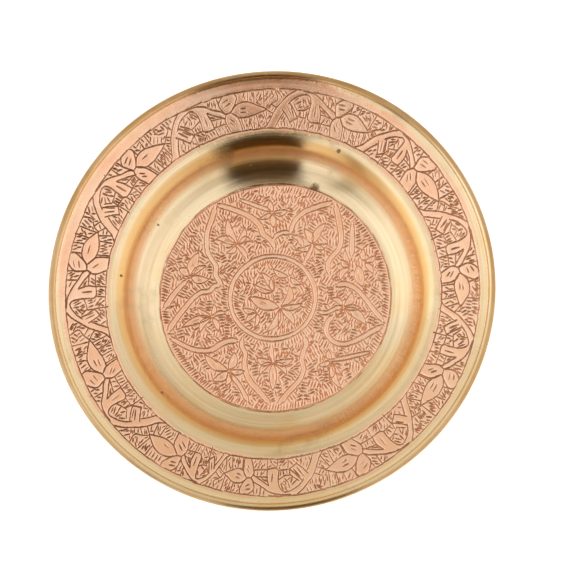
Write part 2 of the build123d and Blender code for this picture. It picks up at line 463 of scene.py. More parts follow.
def blur(a, sigma, step, wrap):
    """Gaussian blur, wrapped along u if the plate closes on itself."""
    r = int(math.ceil(3 * sigma / step))
    k = np.exp(-0.5 * (np.arange(-r, r + 1) * step / sigma) ** 2)
    k = (k / k.sum()).astype(np.float32)
    out = np.zeros_like(a)
    if wrap:
        for i, w in enumerate(k):
            out += w * np.roll(a, i - r, 1)
    else:
        p = np.pad(a, ((0, 0), (r, r)), mode="edge")
        for i, w in enumerate(k):
            out += w * p[:, i:i + a.shape[1]]
    p = np.pad(out, ((r, r), (0, 0)), mode="edge")
    res = np.zeros_like(a)
    for i, w in enumerate(k):
        res += w * p[i:i + a.shape[0], :]
    return res


def surface(plate, swell=0.16):
    """Height of the finished surface: marks, burrs and the lands swelling softly between them."""
    soft = blur(np.minimum(plate.cut, 0.3), 0.6, plate.step, plate.wrap)
    h = -plate.cut + plate.burr * np.clip(1 - plate.cut / 0.03, 0, 1) - swell * soft / 0.15
    return blur(h.astype(np.float32), 0.07, plate.step, plate.wrap)


def proud(plate, height):
    """Where the surface stands above its surroundings, 0 to 1: lips and the shoulders of the lands."""
    rise = height - blur(height, 0.75, plate.step, plate.wrap)
    return np.clip(rise / 0.12, 0, 1)


# ------------------------------------------------------------------ the flange's engraved band
R_MEAN = 105.1
BAND_DEG = 12.3                 # how far round the tray one band height goes
# the flowers stand at these azimuths, clockwise from the back, unevenly as they were laid out by eye
FLOWERS = [20.7, 50.1, 84.9, 116.7, 152.1, 186.9, 208.5, 243.0, 277.8, 312.0, 346.2]


def border_r(th, edge):
    """Radius of the band's border at azimuth th: 0 the outer one, 1 the inner one."""
    base = 115.8 - 21.6 * edge
    return (base - 1.0 * math.cos(th) + 0.3 * math.sin(th)
            + 0.16 * math.sin(3 * th + 1.1 + 2 * edge) + 0.12 * math.sin(7 * th + 4 * edge) + 0.07 * math.sin(17 * th))


def slope_v(r):
    return (R_BAND_OUT - r) / math.cos(FLANGE)


class Motif:
    """Maps a repeat's own coordinates (band heights along x, 0 outer to 1 inner border along y)."""

    def __init__(self, deg, left, right, rng):
        self.deg, self.left, self.right = deg, left, right
        self.a = rng.uniform(-1, 1, (4, 6))

    def __call__(self, pts):
        out = []
        for x, y in pts:
            k = self.a
            jx = 0.022 * math.sin(3.1 * x + 3 * k[0, 0]) + 0.018 * math.sin(5 * y + 6 * x + 3 * k[0, 1]) + 0.02 * k[0, 2]
            jy = 0.020 * math.sin(4.3 * x + 3 * k[1, 0]) * math.sin(math.pi * min(max(y, 0), 1)) + 0.012 * k[1, 1] * math.sin(math.pi * min(max(y, 0), 1))
            s = self.left if x < 0 else self.right
            th = math.radians(self.deg + BAND_DEG * (x * s + jx))
            yy = y + jy
            r = border_r(th, 0) * (1 - yy) + border_r(th, 1) * yy
            out.append((th * R_MEAN, slope_v(r)))
        return np.array(out)


# each repeat: an arched ribbon with a hanging leaf and a right arm that runs to a flower of two
# petals and one almond leaf
M_EDGE = [(-1.95, 1.0), (-1.80, .88), (-1.68, .68), (-1.57, .50), (-1.43, .33), (-1.26, .13), (-1.13, .02)]
M_FOOT = [(-1.64, 1.0), (-1.53, .80), (-1.42, .63)]
M_LEAF_L = [(-1.44, .54), (-1.33, .70), (-1.22, .85)]
M_LEAF_B = [(-1.24, .86), (-1.03, .71)]
M_LEAF_R = [(-1.27, .38), (-1.16, .55), (-1.04, .72)]
M_INNER = [(-1.31, .41), (-1.20, .27), (-1.05, .16), (-.90, .10), (-.82, .14), (-.77, .28), (-.76, .46), (-.77, .69)]
M_ARM_T = [(-1.0, .02), (-.75, .04), (-.55, .12), (-.32, .28), (-.12, .40), (-.05, .50)]
M_ARM_B = [(-.53, .29), (-.34, .42), (-.16, .55), (-.09, .60)]
M_STUB_R = [(-.53, .29), (-.46, .50), (-.45, .75)]
M_STUB_B = [(-.77, .68), (-.70, .75), (-.44, .74)]
M_LAND = (M_EDGE + M_ARM_T[0:] + M_ARM_B[::-1] + M_STUB_R + [(-.70, .75), (-.77, .68)] + M_INNER[::-1]
          + M_LEAF_R + M_LEAF_B[::-1] + M_LEAF_L[::-1] + M_FOOT[::-1])
M_TOP = [(-.06, .49), (-.10, .38), (-.14, .20), (-.06, .07), (0, .02)]
M_TOP2 = [(.28, .02), (.31, .10), (.27, .22), (.08, .47), (-.06, .49)]
M_BOT = [(-.05, .51), (-.12, .62), (-.11, .74), (-.02, .97)]
M_BOT2 = [(.10, .50), (.22, .60), (.29, .72), (.34, .98)]
M_ALM_T = [(.08, .48), (.18, .38), (.30, .30), (.52, .27), (.66, .31), (.82, .39), (.99, .48)]
M_ALM_B = [(.10, .50), (.20, .60), (.30, .66), (.52, .67), (.72, .61), (.88, .54), (.99, .48)]
M_LINES = [M_EDGE, M_FOOT, M_LEAF_L, M_LEAF_B, M_LEAF_R, M_INNER, M_ARM_T, M_ARM_B, M_STUB_R, M_STUB_B,
           M_TOP, M_TOP2, M_BOT, M_BOT2, M_ALM_T, M_ALM_B]
M_LANDS = [M_LAND, M_TOP + M_TOP2, M_BOT + M_BOT2[::-1], M_ALM_T + M_ALM_B[::-1]]
# separators that divide the ground into cells, drawn as straight chisel lines
M_CELLS = [
    [(-1.20, .38), (-1.05, .54)], [(-1.05, .54), (-.90, .50), (-.77, .43)],
    [(-1.03, .72), (-1.03, 1.07)], [(-.71, .76), (-.72, .99)], [(-.44, .74), (-.43, .99)],
    [(-.70, .75), (-.11, .73)], [(-.46, .52), (-.14, .56)],
    [(-1.02, .55), (-1.03, .72)], [(-1.0, .70), (-.78, .70)],
    [(-.34, .03), (-.32, .27)], [(-.17, .03), (-.13, .20)],
    [(.30, .02), (.33, .29)], [(.56, .02), (.56, .28)], [(.74, .02), (.72, .33)], [(.95, .02), (.93, .44)],
    [(.34, .67), (.40, .99)], [(.55, .67), (.58, .99)], [(.73, .61), (.80, .98)],
    [(.99, .48), (1.10, .36), (1.25, .25), (1.20, .02)], [(.99, .50), (1.13, .60), (1.29, .73)],
    [(1.10, .37), (1.30, .50)], [(.90, .54), (1.02, .98)],
]
# nicks: (from, to)
M_NICKS = [
    ((-1.33, .49), (-1.20, .70)), ((-1.24, .49), (-1.13, .68)), ((-.61, .38), (-.60, .62)),
    ((-.05, .17), (.10, .13)), ((-.02, .29), (.13, .25)), ((.02, .64), (.14, .75)), ((0, .74), (.12, .84)),
    ((.36, .44), (.52, .43)), ((.34, .53), (.50, .53)),
    ((-1.17, .31), (-1.08, .24)), ((-1.15, .39), (-1.03, .30)), ((-1.07, .47), (-1.02, .36)),
    ((-.98, .20), (-.97, .33)), ((-.93, .22), (-.85, .36)), ((-.96, .36), (-.90, .46)), ((-.87, .18), (-.81, .31)),
    ((-.97, .57), (-.96, .68)), ((-.89, .55), (-.88, .67)), ((-.82, .54), (-.82, .66)),
    ((-.33, .60), (-.38, .70)), ((-.24, .60), (-.28, .71)), ((-.47, .40), (-.40, .47)), ((-.42, .42), (-.33, .50)),
]


def rim_plate(step):
    plate = Plate(0, 2 * math.pi * R_MEAN, 0, slope_v(R_BAND_IN), step, 11, wrap=True)
    rng = plate.rng
    n = len(FLOWERS)
    gaps = [(FLOWERS[(i + 1) % n] - FLOWERS[i]) % 360 / BAND_DEG for i in range(n)]
    # keep everything outside the borders plain
    uu = (np.arange(plate.nu) + 0.5) * plate.step_u / R_MEAN
    for edge, sign in ((0, 1), (1, -1)):
        vb = np.array([slope_v(border_r(t, edge)) for t in uu])
        vv = (plate.v0 + np.arange(plate.nv) * step)[:, None]
        plate.busy |= (vv - vb[None, :]) * sign < 0.35
    motifs = []
    for i, deg in enumerate(FLOWERS):
        # squeeze a repeat that was given less room
        r = min(1.08, gaps[i] / 2.83)
        l = min(1.08, gaps[i - 1] / 2.83)
        motifs.append(Motif(deg, l, r, rng))
    for m in motifs:
        for land in M_LANDS:
            plate.keep(m(land))
    for m in motifs:
        for path in M_LINES:
            plate.line(m(path), w=0.95, d=0.32, ink=1.0, hit=1.9, hold=0.36)
        for k, path in enumerate(M_CELLS):
            if k > 6 and rng.random() < 0.14:
                continue
            pts = m([(x + rng.normal(0, .012), y + rng.normal(0, .012)) for x, y in path])
            pts = plate.trimmed(curve(pts, 0.3) if len(path) > 2 else pts, 0.35)
            if len(pts) > 5:
                plate.line(pts[::3], w=0.86, d=0.30, ink=0.95, hit=2.2, hold=0.34)
        for p, q in M_NICKS:
            if rng.random() < 0.06:
                continue
            a, b = m([(p[0] + rng.normal(0, .01), p[1] + rng.normal(0, .01)), (q[0] + rng.normal(0, .01), q[1] + rng.normal(0, .01))])
            plate.nick(a, b, w=1.10, d=0.32, ink=1.0, hold=0.38)
    # borders: long overlapping hits, some doubled, some with a gap
    for edge in (0, 1):
        t = rng.uniform(0, 0.05)
        while t < 2 * math.pi:
            ln = rng.uniform(4.2, 7.0) / R_MEAN
            tt = np.linspace(t, t + ln, 6)
            shift = rng.normal(0, 0.08)
            tilt = rng.normal(0, 0.05)
            pts = np.array([(x * R_MEAN, slope_v(border_r(x, edge)) + shift + tilt * (k - 2.5)) for k, x in enumerate(tt)])
            ink = rng.uniform(0.65, 1.05)
            plate.line(pts, w=0.92, d=0.31, ink=ink, hit=2.6, hold=0.3)
            if rng.random() < 0.28:
                pts2 = pts + np.array([rng.uniform(0.5, 1.5), rng.uniform(-0.38, -0.2) * (1 if edge == 0 else -1)])
                plate.line(pts2, w=0.45, d=0.18, ink=ink * 0.85, hit=2.6, hold=0.2)
            if rng.random() < 0.16:
                x, v = pts[rng.integers(0, 6)]
                s = -1 if edge == 0 else 1
                plate.nick((x, v), (x + rng.normal(0, .2), v + s * rng.uniform(0.6, 1.3)), w=0.6, d=0.2, ink=0.8)
            t += ln * rng.uniform(0.92, 1.12)
    # hatching in the cells: mostly across the band
    cells = []
    for v in np.arange(3.2, slope_v(R_BAND_IN) - 1.6, 1.7):
        for u in np.arange(0, 2 * math.pi * R_MEAN, 1.9):
            cells.append((u + rng.uniform(-.7, .7), v + rng.uniform(-.6, .6)))
    cells = np.array(cells)
    g = rng.uniform(-1, 1, (200, 32))

    def angle(p):
        a = g[int(p[0] / 5.2) % 200, int(p[1] / 4.6) % 32]
        return math.pi / 2 + 0.95 * a

    plate.fill(cells, angle, pitch=1.9, length=3.2, least=1.5, w=1.05, d=0.32, ink=1.0, group=5)
    return plate


# ------------------------------------------------------------------ the floor's engraved field
# ornament of the floor, mm from the middle of the field: +x right, +y back
F_RIBBONS = [
    (2.9, [(-33.6, 53.4), (-35.7, 46.6), (-37.9, 39.6), (-38.9, 32.7), (-37.9, 26.6), (-35.1, 21.8), (-33.3, 18.6), (-33.6, 14.2), (-31.8, 10.2), (-29.4, 7.2)]),   # ul_left
    (2.9, [(-33.1, 53.7), (-26.1, 51.7), (-18.4, 49), (-12.2, 45.4), (-8.5, 41.2), (-6.9, 36.5), (-4.5, 34.8), (-1.6, 31.8), (0.1, 27.6)]),   # ul_right
    (2.9, [(32.3, 54.1), (24.4, 52), (16.7, 49), (11.7, 44.7), (9.5, 40.1), (8.8, 36.5)]),   # ur_left
    (2.6, [(8.8, 36.8), (4.9, 37.2), (1.1, 35.8), (-0.9, 33.4)]),   # ur_scallop_out
    (2.6, [(9.7, 35.3), (13.7, 33.4), (15.7, 29.2)]),   # ur_scallop_in
    (2.9, [(34, 53.6), (35.4, 46.6), (36.7, 39.6), (37.2, 32.7), (35.9, 27.4), (32.1, 22.9), (29.9, 19.4), (30.6, 12.6)]),   # ur_right
    (2.9, [(61, -14.2), (55.2, -7.2), (49.4, 0.4), (44.3, 5.1), (38.9, 6.9), (33.8, 6)]),   # r_upper
    (2.9, [(60.2, -17.2), (52.6, -21.3), (45.1, -25.2), (38.9, -27.4), (33.8, -26.2), (30, -22.7), (28.8, -18.7), (30.2, -13.8), (33.6, -10.7)]),   # r_lower
    (2.9, [(-2.8, -60.7), (-8.8, -53.6), (-14, -47.5), (-16.5, -42.2), (-17.2, -36.1), (-16.7, -31.8), (-18.7, -26.7), (-18.2, -22.7)]),   # b_left
    (2.9, [(2, -60.7), (8.1, -53.6), (14.1, -46.6), (16.2, -40.5), (15, -35.8), (15.7, -31.8), (17.5, -26.6), (16.3, -21.9)]),   # b_right
    (2.9, [(-60.7, -18.7), (-56.1, -11.8), (-50.9, -5.2), (-45.8, 0.9), (-41.9, 3.4), (-37.6, 4.1), (-34.5, 6.9), (-30, 8.3)]),   # l_upper
    (2.9, [(-59.5, -21.7), (-53.5, -25.3), (-46.7, -28.7), (-40.7, -30), (-35.9, -29.4), (-31.1, -26.2), (-26.8, -24.5), (-20.5, -24.3)]),   # l_lower
    (2.6, [(-15.7, 22.7), (-18, 26.7), (-20.8, 29.9)]),   # ul_stem
    (2.6, [(16.7, 20.3), (19.6, 26), (21.1, 29.9)]),   # ur_stem
    (2.4, [(23.5, -8.3), (28.7, -9.1), (33, -7.2), (38.1, -5.7)]),   # r_stem
    (2.6, [(-2.1, -26.7), (-2, -31.8), (-1.1, -36)]),   # b_stem
    (2.4, [(-27.6, -8.3), (-31.8, -8.6), (-35.2, -10.2)]),   # l_stem
    (2.9, [(-62.9, -5.7), (-56.1, 4.1), (-49.6, 10.9)]),   # w_stem
    (2.6, [(-15.2, -59.3), (-20.1, -49.7), (-25.3, -43.3)]),   # sw_stem
    (2.2, [(53.3, -31.8), (42.4, -34.4), (32.1, -36.5)]),   # se_stem
    (2.6, [(43.7, 42.2), (43.7, 31.8), (43.1, 23.1)]),   # e_stem
    (2.2, [(-20.1, 56.7), (-11.2, 53.4), (-2.3, 49.7)]),   # n_stem
]
F_LEAVES = [
    ((-21.3, 30.4), [((-26.8, 46.1), 4.7, 0.1), ((-33.5, 34.1), 4.1, -0.12), ((-17, 40.7), 3.8, -0.1), ((-12.2, 32), 3.6, 0.28), ((-27.6, 26), 2.9, 0.15)]),
    ((21, 29.9), [((16.3, 39.3), 4.0, -0.1), ((28.8, 42.4), 4.3, 0.08), ((29.9, 30.4), 3.5, -0.2), ((12.6, 28.1), 2.9, 0.2), ((27.8, 23.1), 2.6, 0.2)]),
    ((38.6, -6.2), [((51.4, -16.5), 5.0, 0.1), ((43.4, 2.9), 4.0, -0.14), ((48.5, -6.7), 3.3, 0), ((40.8, -15.2), 2.9, 0.2), ((31.2, -1.3), 2.9, -0.2)]),
    ((-1.1, -36.7), [((-1.3, -53.2), 4.3, 0), ((-10.4, -34.4), 4.0, 0.14), ((10.4, -34.9), 3.8, -0.14), ((-8.8, -44.5), 3.3, -0.16), ((6.4, -44.5), 3.3, 0.16)]),
    ((-35.5, -10.4), [((-53, -16.5), 4.3, -0.06), ((-43.7, -5.1), 3.6, 0.14), ((-42.5, -19.6), 3.6, -0.16), ((-32.1, -18.9), 3.1, 0.1), ((-34.5, -2.7), 2.9, -0.1)]),
    ((-48.2, 12.6), [((-43.1, 26.6), 5.5, 0.06), ((-37.4, 11.2), 4.8, -0.1), ((-54.5, 17.3), 4.1, -0.1), ((-38.9, 18.7), 2.9, 0.1)]),
    ((-25.9, -41.5), [((-39.8, -31.8), 5.2, 0.1), ((-22.9, -30.6), 4.5, -0.08), ((-35.2, -46.8), 4.8, 0.1), ((-17, -41.5), 3.1, -0.1), ((-27.8, -50.1), 3.1, 0.12)]),
    ((31.6, -36.7), [((30, -29.9), 3.5, 0.1), ((30.4, -47.5), 3.6, 0.12), ((37.4, -52.5), 3.8, -0.1), ((24.4, -38.8), 2.9, 0.1), ((38.1, -44.9), 2.6, -0.1)]),
    ((42.5, 16.8), [((37.1, 21), 3.6, 0.1), ((36.7, 9), 3.3, -0.2), ((39.5, 27.4), 2.9, 0.1)]),
    ((46.7, 18.4), [((49.4, 5.3), 5.4, -0.05)]),
    ((50.1, 19.6), [((55.2, 12.6), 3.1, 0.1), ((56.9, 23.1), 2.9, -0.1), ((50.1, 27.4), 2.9, 0.1)]),
    ((-1.6, 48.7), [((-2.8, 56), 3.5, 0.05), ((-0.8, 40), 3.6, 0), ((7.1, 49.9), 3.5, -0.1), ((-9, 45.6), 2.8, 0.1), ((4.7, 43.1), 2.8, 0.1)]),
    ((3, -5.8), [((-14.5, 0.6), 6.2, 0.06), ((8, 7.6), 4.0, -0.2), ((11, -16.1), 3.8, 0.1), ((15.3, -3.6), 3.3, -0.1), ((-5.6, -19.9), 4.0, 0.12), ((2.1, -17.9), 2.9, 0.05)]),
    ((-0.9, 2.9), [((-8, 14.5), 3.6, -0.1), ((-12.4, 8.3), 2.8, 0.12), ((-1.5, 12.6), 2.9, 0.05)]),
    ((8.1, 11.6), [((-1.1, 16.6), 3.3, 0.12), ((15, 7.4), 3.1, -0.1), ((10.7, 17.9), 2.6, 0.1)]),
    ((-9.8, -8.3), [((-18.4, -5.7), 2.9, 0.1), ((-16.7, -14.4), 3.1, -0.1), ((-11.6, -17), 2.6, 0.1)]),
]
F_NICKS = [
    [(-9.8, 0.1), (-5.6, -1.3)],
    [(-9, -1.3), (-4.7, -3.2)],
    [(-4.2, -1), (-1.3, -2.7)],
    [(-47, 20.8), (-46.3, 18.4)],
    [(-45.5, 19.6), (-45.8, 17)],
    [(-44.1, 13.5), (-42.2, 12.5)],
    [(-44.3, 12.3), (-42.2, 11.4)],
    [(-35.5, -34.2), (-32.6, -36.7)],
    [(-34.2, -33.7), (-30.7, -36.8)],
    [(-32.4, -43.1), (-32.8, -45.4)],
    [(-30.7, -42.9), (-30.9, -45.4)],
    [(46.7, 15.2), (47, 11.8)],
    [(47.7, 12.6), (48, 9.1)],
    [(-46.3, -14.4), (-42.2, -13.8)],
    [(-47.2, -15.6), (-43.7, -15.4)],
    [(-1.5, -41.4), (-1.5, -45.7)],
    [(-0.8, -42.2), (-0.8, -47.5)],
    [(-6.4, -34.9), (-3.9, -35.8)],
    [(-25.6, 42.2), (-24.4, 39.6)],
    [(-28.7, 33), (-25.3, 32.5)],
    [(24.7, 36), (26.3, 38.1)],
    [(17.7, 36), (18.6, 33.7)],
]
F_RING = (-1.3, 0.0)            # the central double ring is a little off the middle
F_BORDER = 64.85


def f_border(th):
    return (F_BORDER + 0.25 * math.sin(2 * th + 0.6) + 0.18 * math.sin(5 * th + 2) + 0.1 * math.sin(11 * th)
            + 0.06 * math.sin(23 * th + 1))


def nearest_line(plate, coarse=0.4):
    """Direction away from the nearest busy place, on a coarse grid, by jump flooding."""
    k = max(1, int(round(coarse / plate.step)))
    b = plate.busy[::k, ::k]
    nv, nu = b.shape
    ju, jv = np.meshgrid(np.arange(nu), np.arange(nv))
    su = np.where(b, ju, -9999).astype(np.int32)
    sv = np.where(b, jv, -9999).astype(np.int32)
    jump = 64
    while jump >= 1:
        for du in (-jump, 0, jump):
            for dv in (-jump, 0, jump):
                if du == 0 and dv == 0:
                    continue
                cu, cv = np.roll(su, (dv, du), (0, 1)), np.roll(sv, (dv, du), (0, 1))
                better = (cu - ju) ** 2 + (cv - jv) ** 2 < (su - ju) ** 2 + (sv - jv) ** 2
                su, sv = np.where(better, cu, su), np.where(better, cv, sv)
        jump //= 2
    return np.arctan2(jv - sv, ju - su), np.hypot(jv - sv, ju - su) * k * plate.step, k


def floor_plate(step):
    lim = R_FLOOR_FIELD + 0.5
    plate = Plate(-lim, lim, -lim, lim, step, 23)
    rng = plate.rng
    uu = (plate.u0 + np.arange(plate.nu) * step)[None, :]
    vv = (plate.v0 + np.arange(plate.nv) * step)[:, None]
    th, rr = np.arctan2(vv, uu), np.hypot(uu, vv)
    edge = (F_BORDER + 0.25 * np.sin(2 * th + 0.6) + 0.18 * np.sin(5 * th + 2) + 0.1 * np.sin(11 * th)
            + 0.06 * np.sin(23 * th + 1))
    plate.busy |= rr > edge - 0.3
    L = dict(w=0.86, d=0.30, ink=0.85, hit=1.7, hold=0.30)
    # the double ring
    for r in (25.3, 22.9):
        t = np.linspace(0, 2 * math.pi, 90)
        wob = 0.12 * np.sin(3 * t + r) + 0.08 * np.sin(7 * t + 2 * r)
        plate.line(np.stack([F_RING[0] + (r + wob) * np.cos(t), F_RING[1] + (r * 0.985 + wob) * np.sin(t)], 1), **L)
    ann = (np.hypot(uu - F_RING[0], (vv - F_RING[1]) / 0.985) < 25.3) & (np.hypot(uu - F_RING[0], (vv - F_RING[1]) / 0.985) > 22.9)
    plate.busy |= ann
    inner = np.hypot(uu - F_RING[0], (vv - F_RING[1]) / 0.985) < 22.9
    # ribbons: a plain raised land between two chased lines
    edges = []
    lands = np.zeros_like(plate.busy)
    for width, pts in F_RIBBONS:
        pts = np.array(pts, float) + rng.normal(0, 0.1, (len(pts), 2))
        path = curve(pts, 0.4)
        rp = np.hypot(path[:, 0], path[:, 1])
        path = path[rp < 63.2]
        wv = width / 2 * (1 + 0.10 * np.sin(np.linspace(0, 5, len(path)) + rng.uniform(0, 6)))
        taper = np.clip(np.minimum(np.arange(len(path)), np.arange(len(path))[::-1]) * 0.4 / 2.2, 0.55, 1)
        wv = wv * taper
        left, right = offset_path(path, wv[:, None] * np.ones(2)), offset_path(path, -wv[:, None] * np.ones(2))
        edges.append((left, right))
        poly = np.concatenate([left, right[::-1]])
        before = plate.busy.copy()
        plate.keep(poly)
        lands |= plate.busy & ~before
    for left, right in edges:
        for side in (left, right):
            # leave the line out where it would cross another ribbon's land
            i, j, ok = plate.index(side[:, 0], side[:, 1])
            inside = lands_inside(plate, lands, side, 0.35)
            run = []
            for p, skip in zip(side, inside):
                if skip:
                    if len(run) > 4:
                        plate.line(np.array(run)[::2], **L)
                    run = []
                else:
                    run.append(p)
            if len(run) > 4:
                plate.line(np.array(run)[::2], **L)
    for node, leaves in F_LEAVES:
        for tip, width, bend in leaves:
            left, right, rib = leaf(node, tip, width, bend, rng)
            plate.keep(np.concatenate([left, right[::-1]]))
            plate.line(left, w=0.80, d=0.29, ink=0.9, hit=1.5, hold=0.24)
            plate.line(right, w=0.80, d=0.29, ink=0.9, hit=1.5, hold=0.24)
            if width > 2.7:
                n = 1 if width < 4.4 else 2
                for k in range(n):
                    o = (k - (n - 1) / 2) * 0.95
                    a, b = rib[int(len(rib) * 0.34)], rib[int(len(rib) * rng.uniform(0.55, 0.66))]
                    t = (b - a) / (np.hypot(*(b - a)) + 1e-9)
                    s = np.array([-t[1], t[0]]) * o
                    plate.nick(a + s, b + s, w=0.6, d=0.17, ink=0.6, hold=0.2)
    for p, q in F_NICKS:
        plate.nick(p, q, w=0.62, d=0.18, ink=0.62, hold=0.25)
    # the field's border line, then short radial nicks inside it
    t = 0.0
    while t < 2 * math.pi:
        ln = rng.uniform(3.0, 6.0) / F_BORDER
        tt = np.linspace(t, t + ln, 5)
        sh = rng.normal(0, 0.08)
        plate.line(np.array([((f_border(x) + sh) * math.cos(x), (f_border(x) + sh) * math.sin(x)) for x in tt]),
                   w=0.7, d=0.26, ink=rng.uniform(0.8, 1.1), hit=2.2, hold=0.2)
        t += ln * rng.uniform(0.9, 1.05)
    H = dict(w=1.02, d=0.34, ink=1.0)
    t = np.linspace(0, 2 * math.pi, 260)
    plate.fringe(np.stack([64.5 * np.cos(t), 64.5 * np.sin(t)], 1), 1, pitch=1.65, length=3.7, lean=0.12, **H)
    t = np.linspace(0, 2 * math.pi, 120)
    plate.fringe(np.stack([F_RING[0] + 22.6 * np.cos(t), F_RING[1] + 22.2 * np.sin(t)], 1), 1, pitch=1.45, length=3.1, lean=0.25, **H)
    plate.fringe(np.stack([F_RING[0] + 25.6 * np.cos(t), F_RING[1] + 25.2 * np.sin(t)], 1), -1, pitch=1.45, length=2.9, lean=-0.25, **H)
    for left, right in edges:
        plate.fringe(left[::3], 1, pitch=1.42, length=3.1, lean=rng.choice([-0.45, 0.45]), gap=0.45, **H)
        plate.fringe(right[::3], -1, pitch=1.42, length=3.1, lean=rng.choice([-0.45, 0.45]), gap=0.45, **H)
    away, dist, k = nearest_line(plate)
    cells = []
    for v in np.arange(-63, 63, 1.5):
        for u in np.arange(-63, 63, 1.6):
            if u * u + v * v < 62.8 ** 2:
                cells.append((u + rng.uniform(-.7, .7), v + rng.uniform(-.7, .7)))
    cells = np.array(cells)
    g = rng.uniform(-1, 1, (40, 40))

    def angle(p):
        a = g[int((p[0] + 70) / 4.6), int((p[1] + 70) / 4.6)]
        i, j, ok = plate.index(p[0], p[1])
        base = away[min(int(j) // k, away.shape[0] - 1), min(int(i) // k, away.shape[1] - 1)]
        return base + 0.9 * a

    plate.fill(cells, angle, pitch=1.72, length=3.5, least=1.4, w=1.06, d=0.36, ink=1.0, group=4)
    plate.fill(cells, angle, pitch=1.3, length=2.0, least=0.8, w=0.8, d=0.25, ink=0.75, group=2)
    return plate


def leaf(node, tip, width, bend, rng):
    """Two edges and a midrib of a pointed leaf from its node to its tip, in mm."""
    a, b = np.array(node, float), np.array(tip, float)
    d = b - a
    ln = np.hypot(*d)
    t = d / ln
    s = np.array([-t[1], t[0]])
    a = a + t * 0.7
    x = np.linspace(0, 1, 9)
    bow = bend * ln * 4 * x * (1 - x)
    belly = width / 2 * np.sin(math.pi * x ** 0.85) ** 0.9 * (1 + rng.normal(0, 0.05))
    mid = a + np.outer(x, b - a) + np.outer(bow, s)
    return mid + np.outer(belly, s), mid - np.outer(belly, s), mid


def lands_inside(plate, lands, path, depth):
    """Which points of a ribbon's edge lie well inside some other ribbon's land."""
    out = np.ones(len(path), bool)
    for du, dv in ((depth, 0), (-depth, 0), (0, depth), (0, -depth)):
        i, j, ok = plate.index(path[:, 0] + du, path[:, 1] + dv)
        out &= lands[j, i] & ok
    return out


# ------------------------------------------------------------------ tray body
N_AZ = 900
under = joined(
    seg((1.0, 0.0), (R_FLOOR, 0.0), 60),
    arc(foot_c, R_FOOT + SHEET, -math.pi / 2, WALL - math.pi / 2, 34),
    seg(foot_c + (R_FOOT + SHEET) * np.array([math.sin(WALL), -math.cos(WALL)]),
        sho_c - (R_SHOULDER - SHEET) * np.array([math.sin(WALL), -math.cos(WALL)]), 18),
    arc(sho_c, R_SHOULDER - SHEET, WALL + math.pi / 2, FLANGE + math.pi / 2, 20),
    seg(sho_c + (R_SHOULDER - SHEET) * norm,
        turn_c + (R_TURN + half) * np.array([math.cos(turn_start), math.sin(turn_start)]), 40),
    arc(turn_c, R_TURN + half, turn_start, turn_end, 8),
    arc(wire_c, R_WIRE, curl_start, CURL_END, 30),
)
over = joined(
    arc(wire_c, R_WIRE + SHEET, CURL_END, curl_start, 60),
    arc(turn_c, R_TURN - half, turn_end, turn_start, 10),
    seg(turn_c + (R_TURN - half) * np.array([math.cos(turn_start), math.sin(turn_start)]),
        (R_BAND_OUT, flange_z(R_BAND_OUT)), 8),
)
bx, bz = BED * math.sin(FLANGE), BED * math.cos(FLANGE)
bed_band = seg((R_BAND_OUT + bx, flange_z(R_BAND_OUT) - bz), (R_BAND_IN + bx, flange_z(R_BAND_IN) - bz), 10)
well = joined(
    seg((R_BAND_IN, flange_z(R_BAND_IN)), fl_0, 4),
    arc(sho_c, R_SHOULDER, FLANGE + math.pi / 2, WALL + math.pi / 2, 30),
    seg(wall_hi, wall_lo, 34),
    arc(foot_c, R_FOOT, WALL - math.pi / 2, -math.pi / 2 + math.asin((R_FLOOR_FIELD - R_FLOOR) / R_FOOT), 60),
)
rr = np.concatenate([np.linspace(R_FLOOR_FIELD, R_FLOOR, 5), np.linspace(R_FLOOR, 1.0, 8)[1:]])
bed_floor = np.stack([rr, well_z(rr) - BED], 1)
prof = np.concatenate([under, over, bed_band, well, bed_floor])
co, quads = revolve(prof, N_AZ)
co = np.concatenate([co, [[0, 0, 0.0], [0, 0, SHEET - BED]]])
last = (len(prof) - 1) * N_AZ
body = make_mesh("tray_body", co, quads,
                 np.concatenate([fan(np.arange(N_AZ), len(co) - 2, True), fan(last + np.arange(N_AZ), len(co) - 1)]))
outward(body)

# ------------------------------------------------------------------ the floor's engraved copper piece
STEP = 0.1
plate = floor_plate(STEP)
height = surface(plate)
ink = blur(plate.ink, 0.06, plate.step, False)
N = 640
# a square grid carried onto the disc, ring by ring, so that its cells stay nearly square
q = np.linspace(-1, 1, N + 1)
gx, gy = np.meshgrid(q, q)
with np.errstate(divide="ignore", invalid="ignore"):
    big = np.abs(gx) >= np.abs(gy)
    rad = np.where(big, gx, gy)
    phi = np.where(big, math.pi / 4 * gy / gx, math.pi / 2 - math.pi / 4 * gx / gy)
phi[~np.isfinite(phi)] = 0
x = (rad * np.cos(phi) * R_FLOOR_FIELD).ravel()
y = (rad * np.sin(phi) * R_FLOOR_FIELD).ravel()
r = np.hypot(x, y)
k = np.clip((R_FLOOR_FIELD - r) / 0.35, 0, 1)
z = well_z(r) + sample(height, plate, x, y) * k
top = np.stack([x, y, z], 1)
idx = np.arange((N + 1) ** 2).reshape(N + 1, N + 1)
quads = np.stack([idx[:-1, :-1], idx[:-1, 1:], idx[1:, 1:], idx[1:, :-1]], -1).reshape(-1, 4)
loop = np.concatenate([idx[0, :-1], idx[:-1, -1], idx[-1, :0:-1], idx[:0:-1, 0]])
nt, nl = len(top), len(loop)
rings, sides, prev = [], [], loop
for m, rb in enumerate((R_FLOOR_FIELD, (R_FLOOR_FIELD + R_FLOOR) / 2, R_FLOOR)):
    ring = top[loop] * [rb / R_FLOOR_FIELD, rb / R_FLOOR_FIELD, 0]
    ring[:, 2] = well_z(rb) - BED
    rings.append(ring)
    cur = nt + m * nl + np.arange(nl)
    sides.append(np.stack([prev, cur, np.roll(cur, -1), np.roll(prev, -1)], 1))
    prev = cur
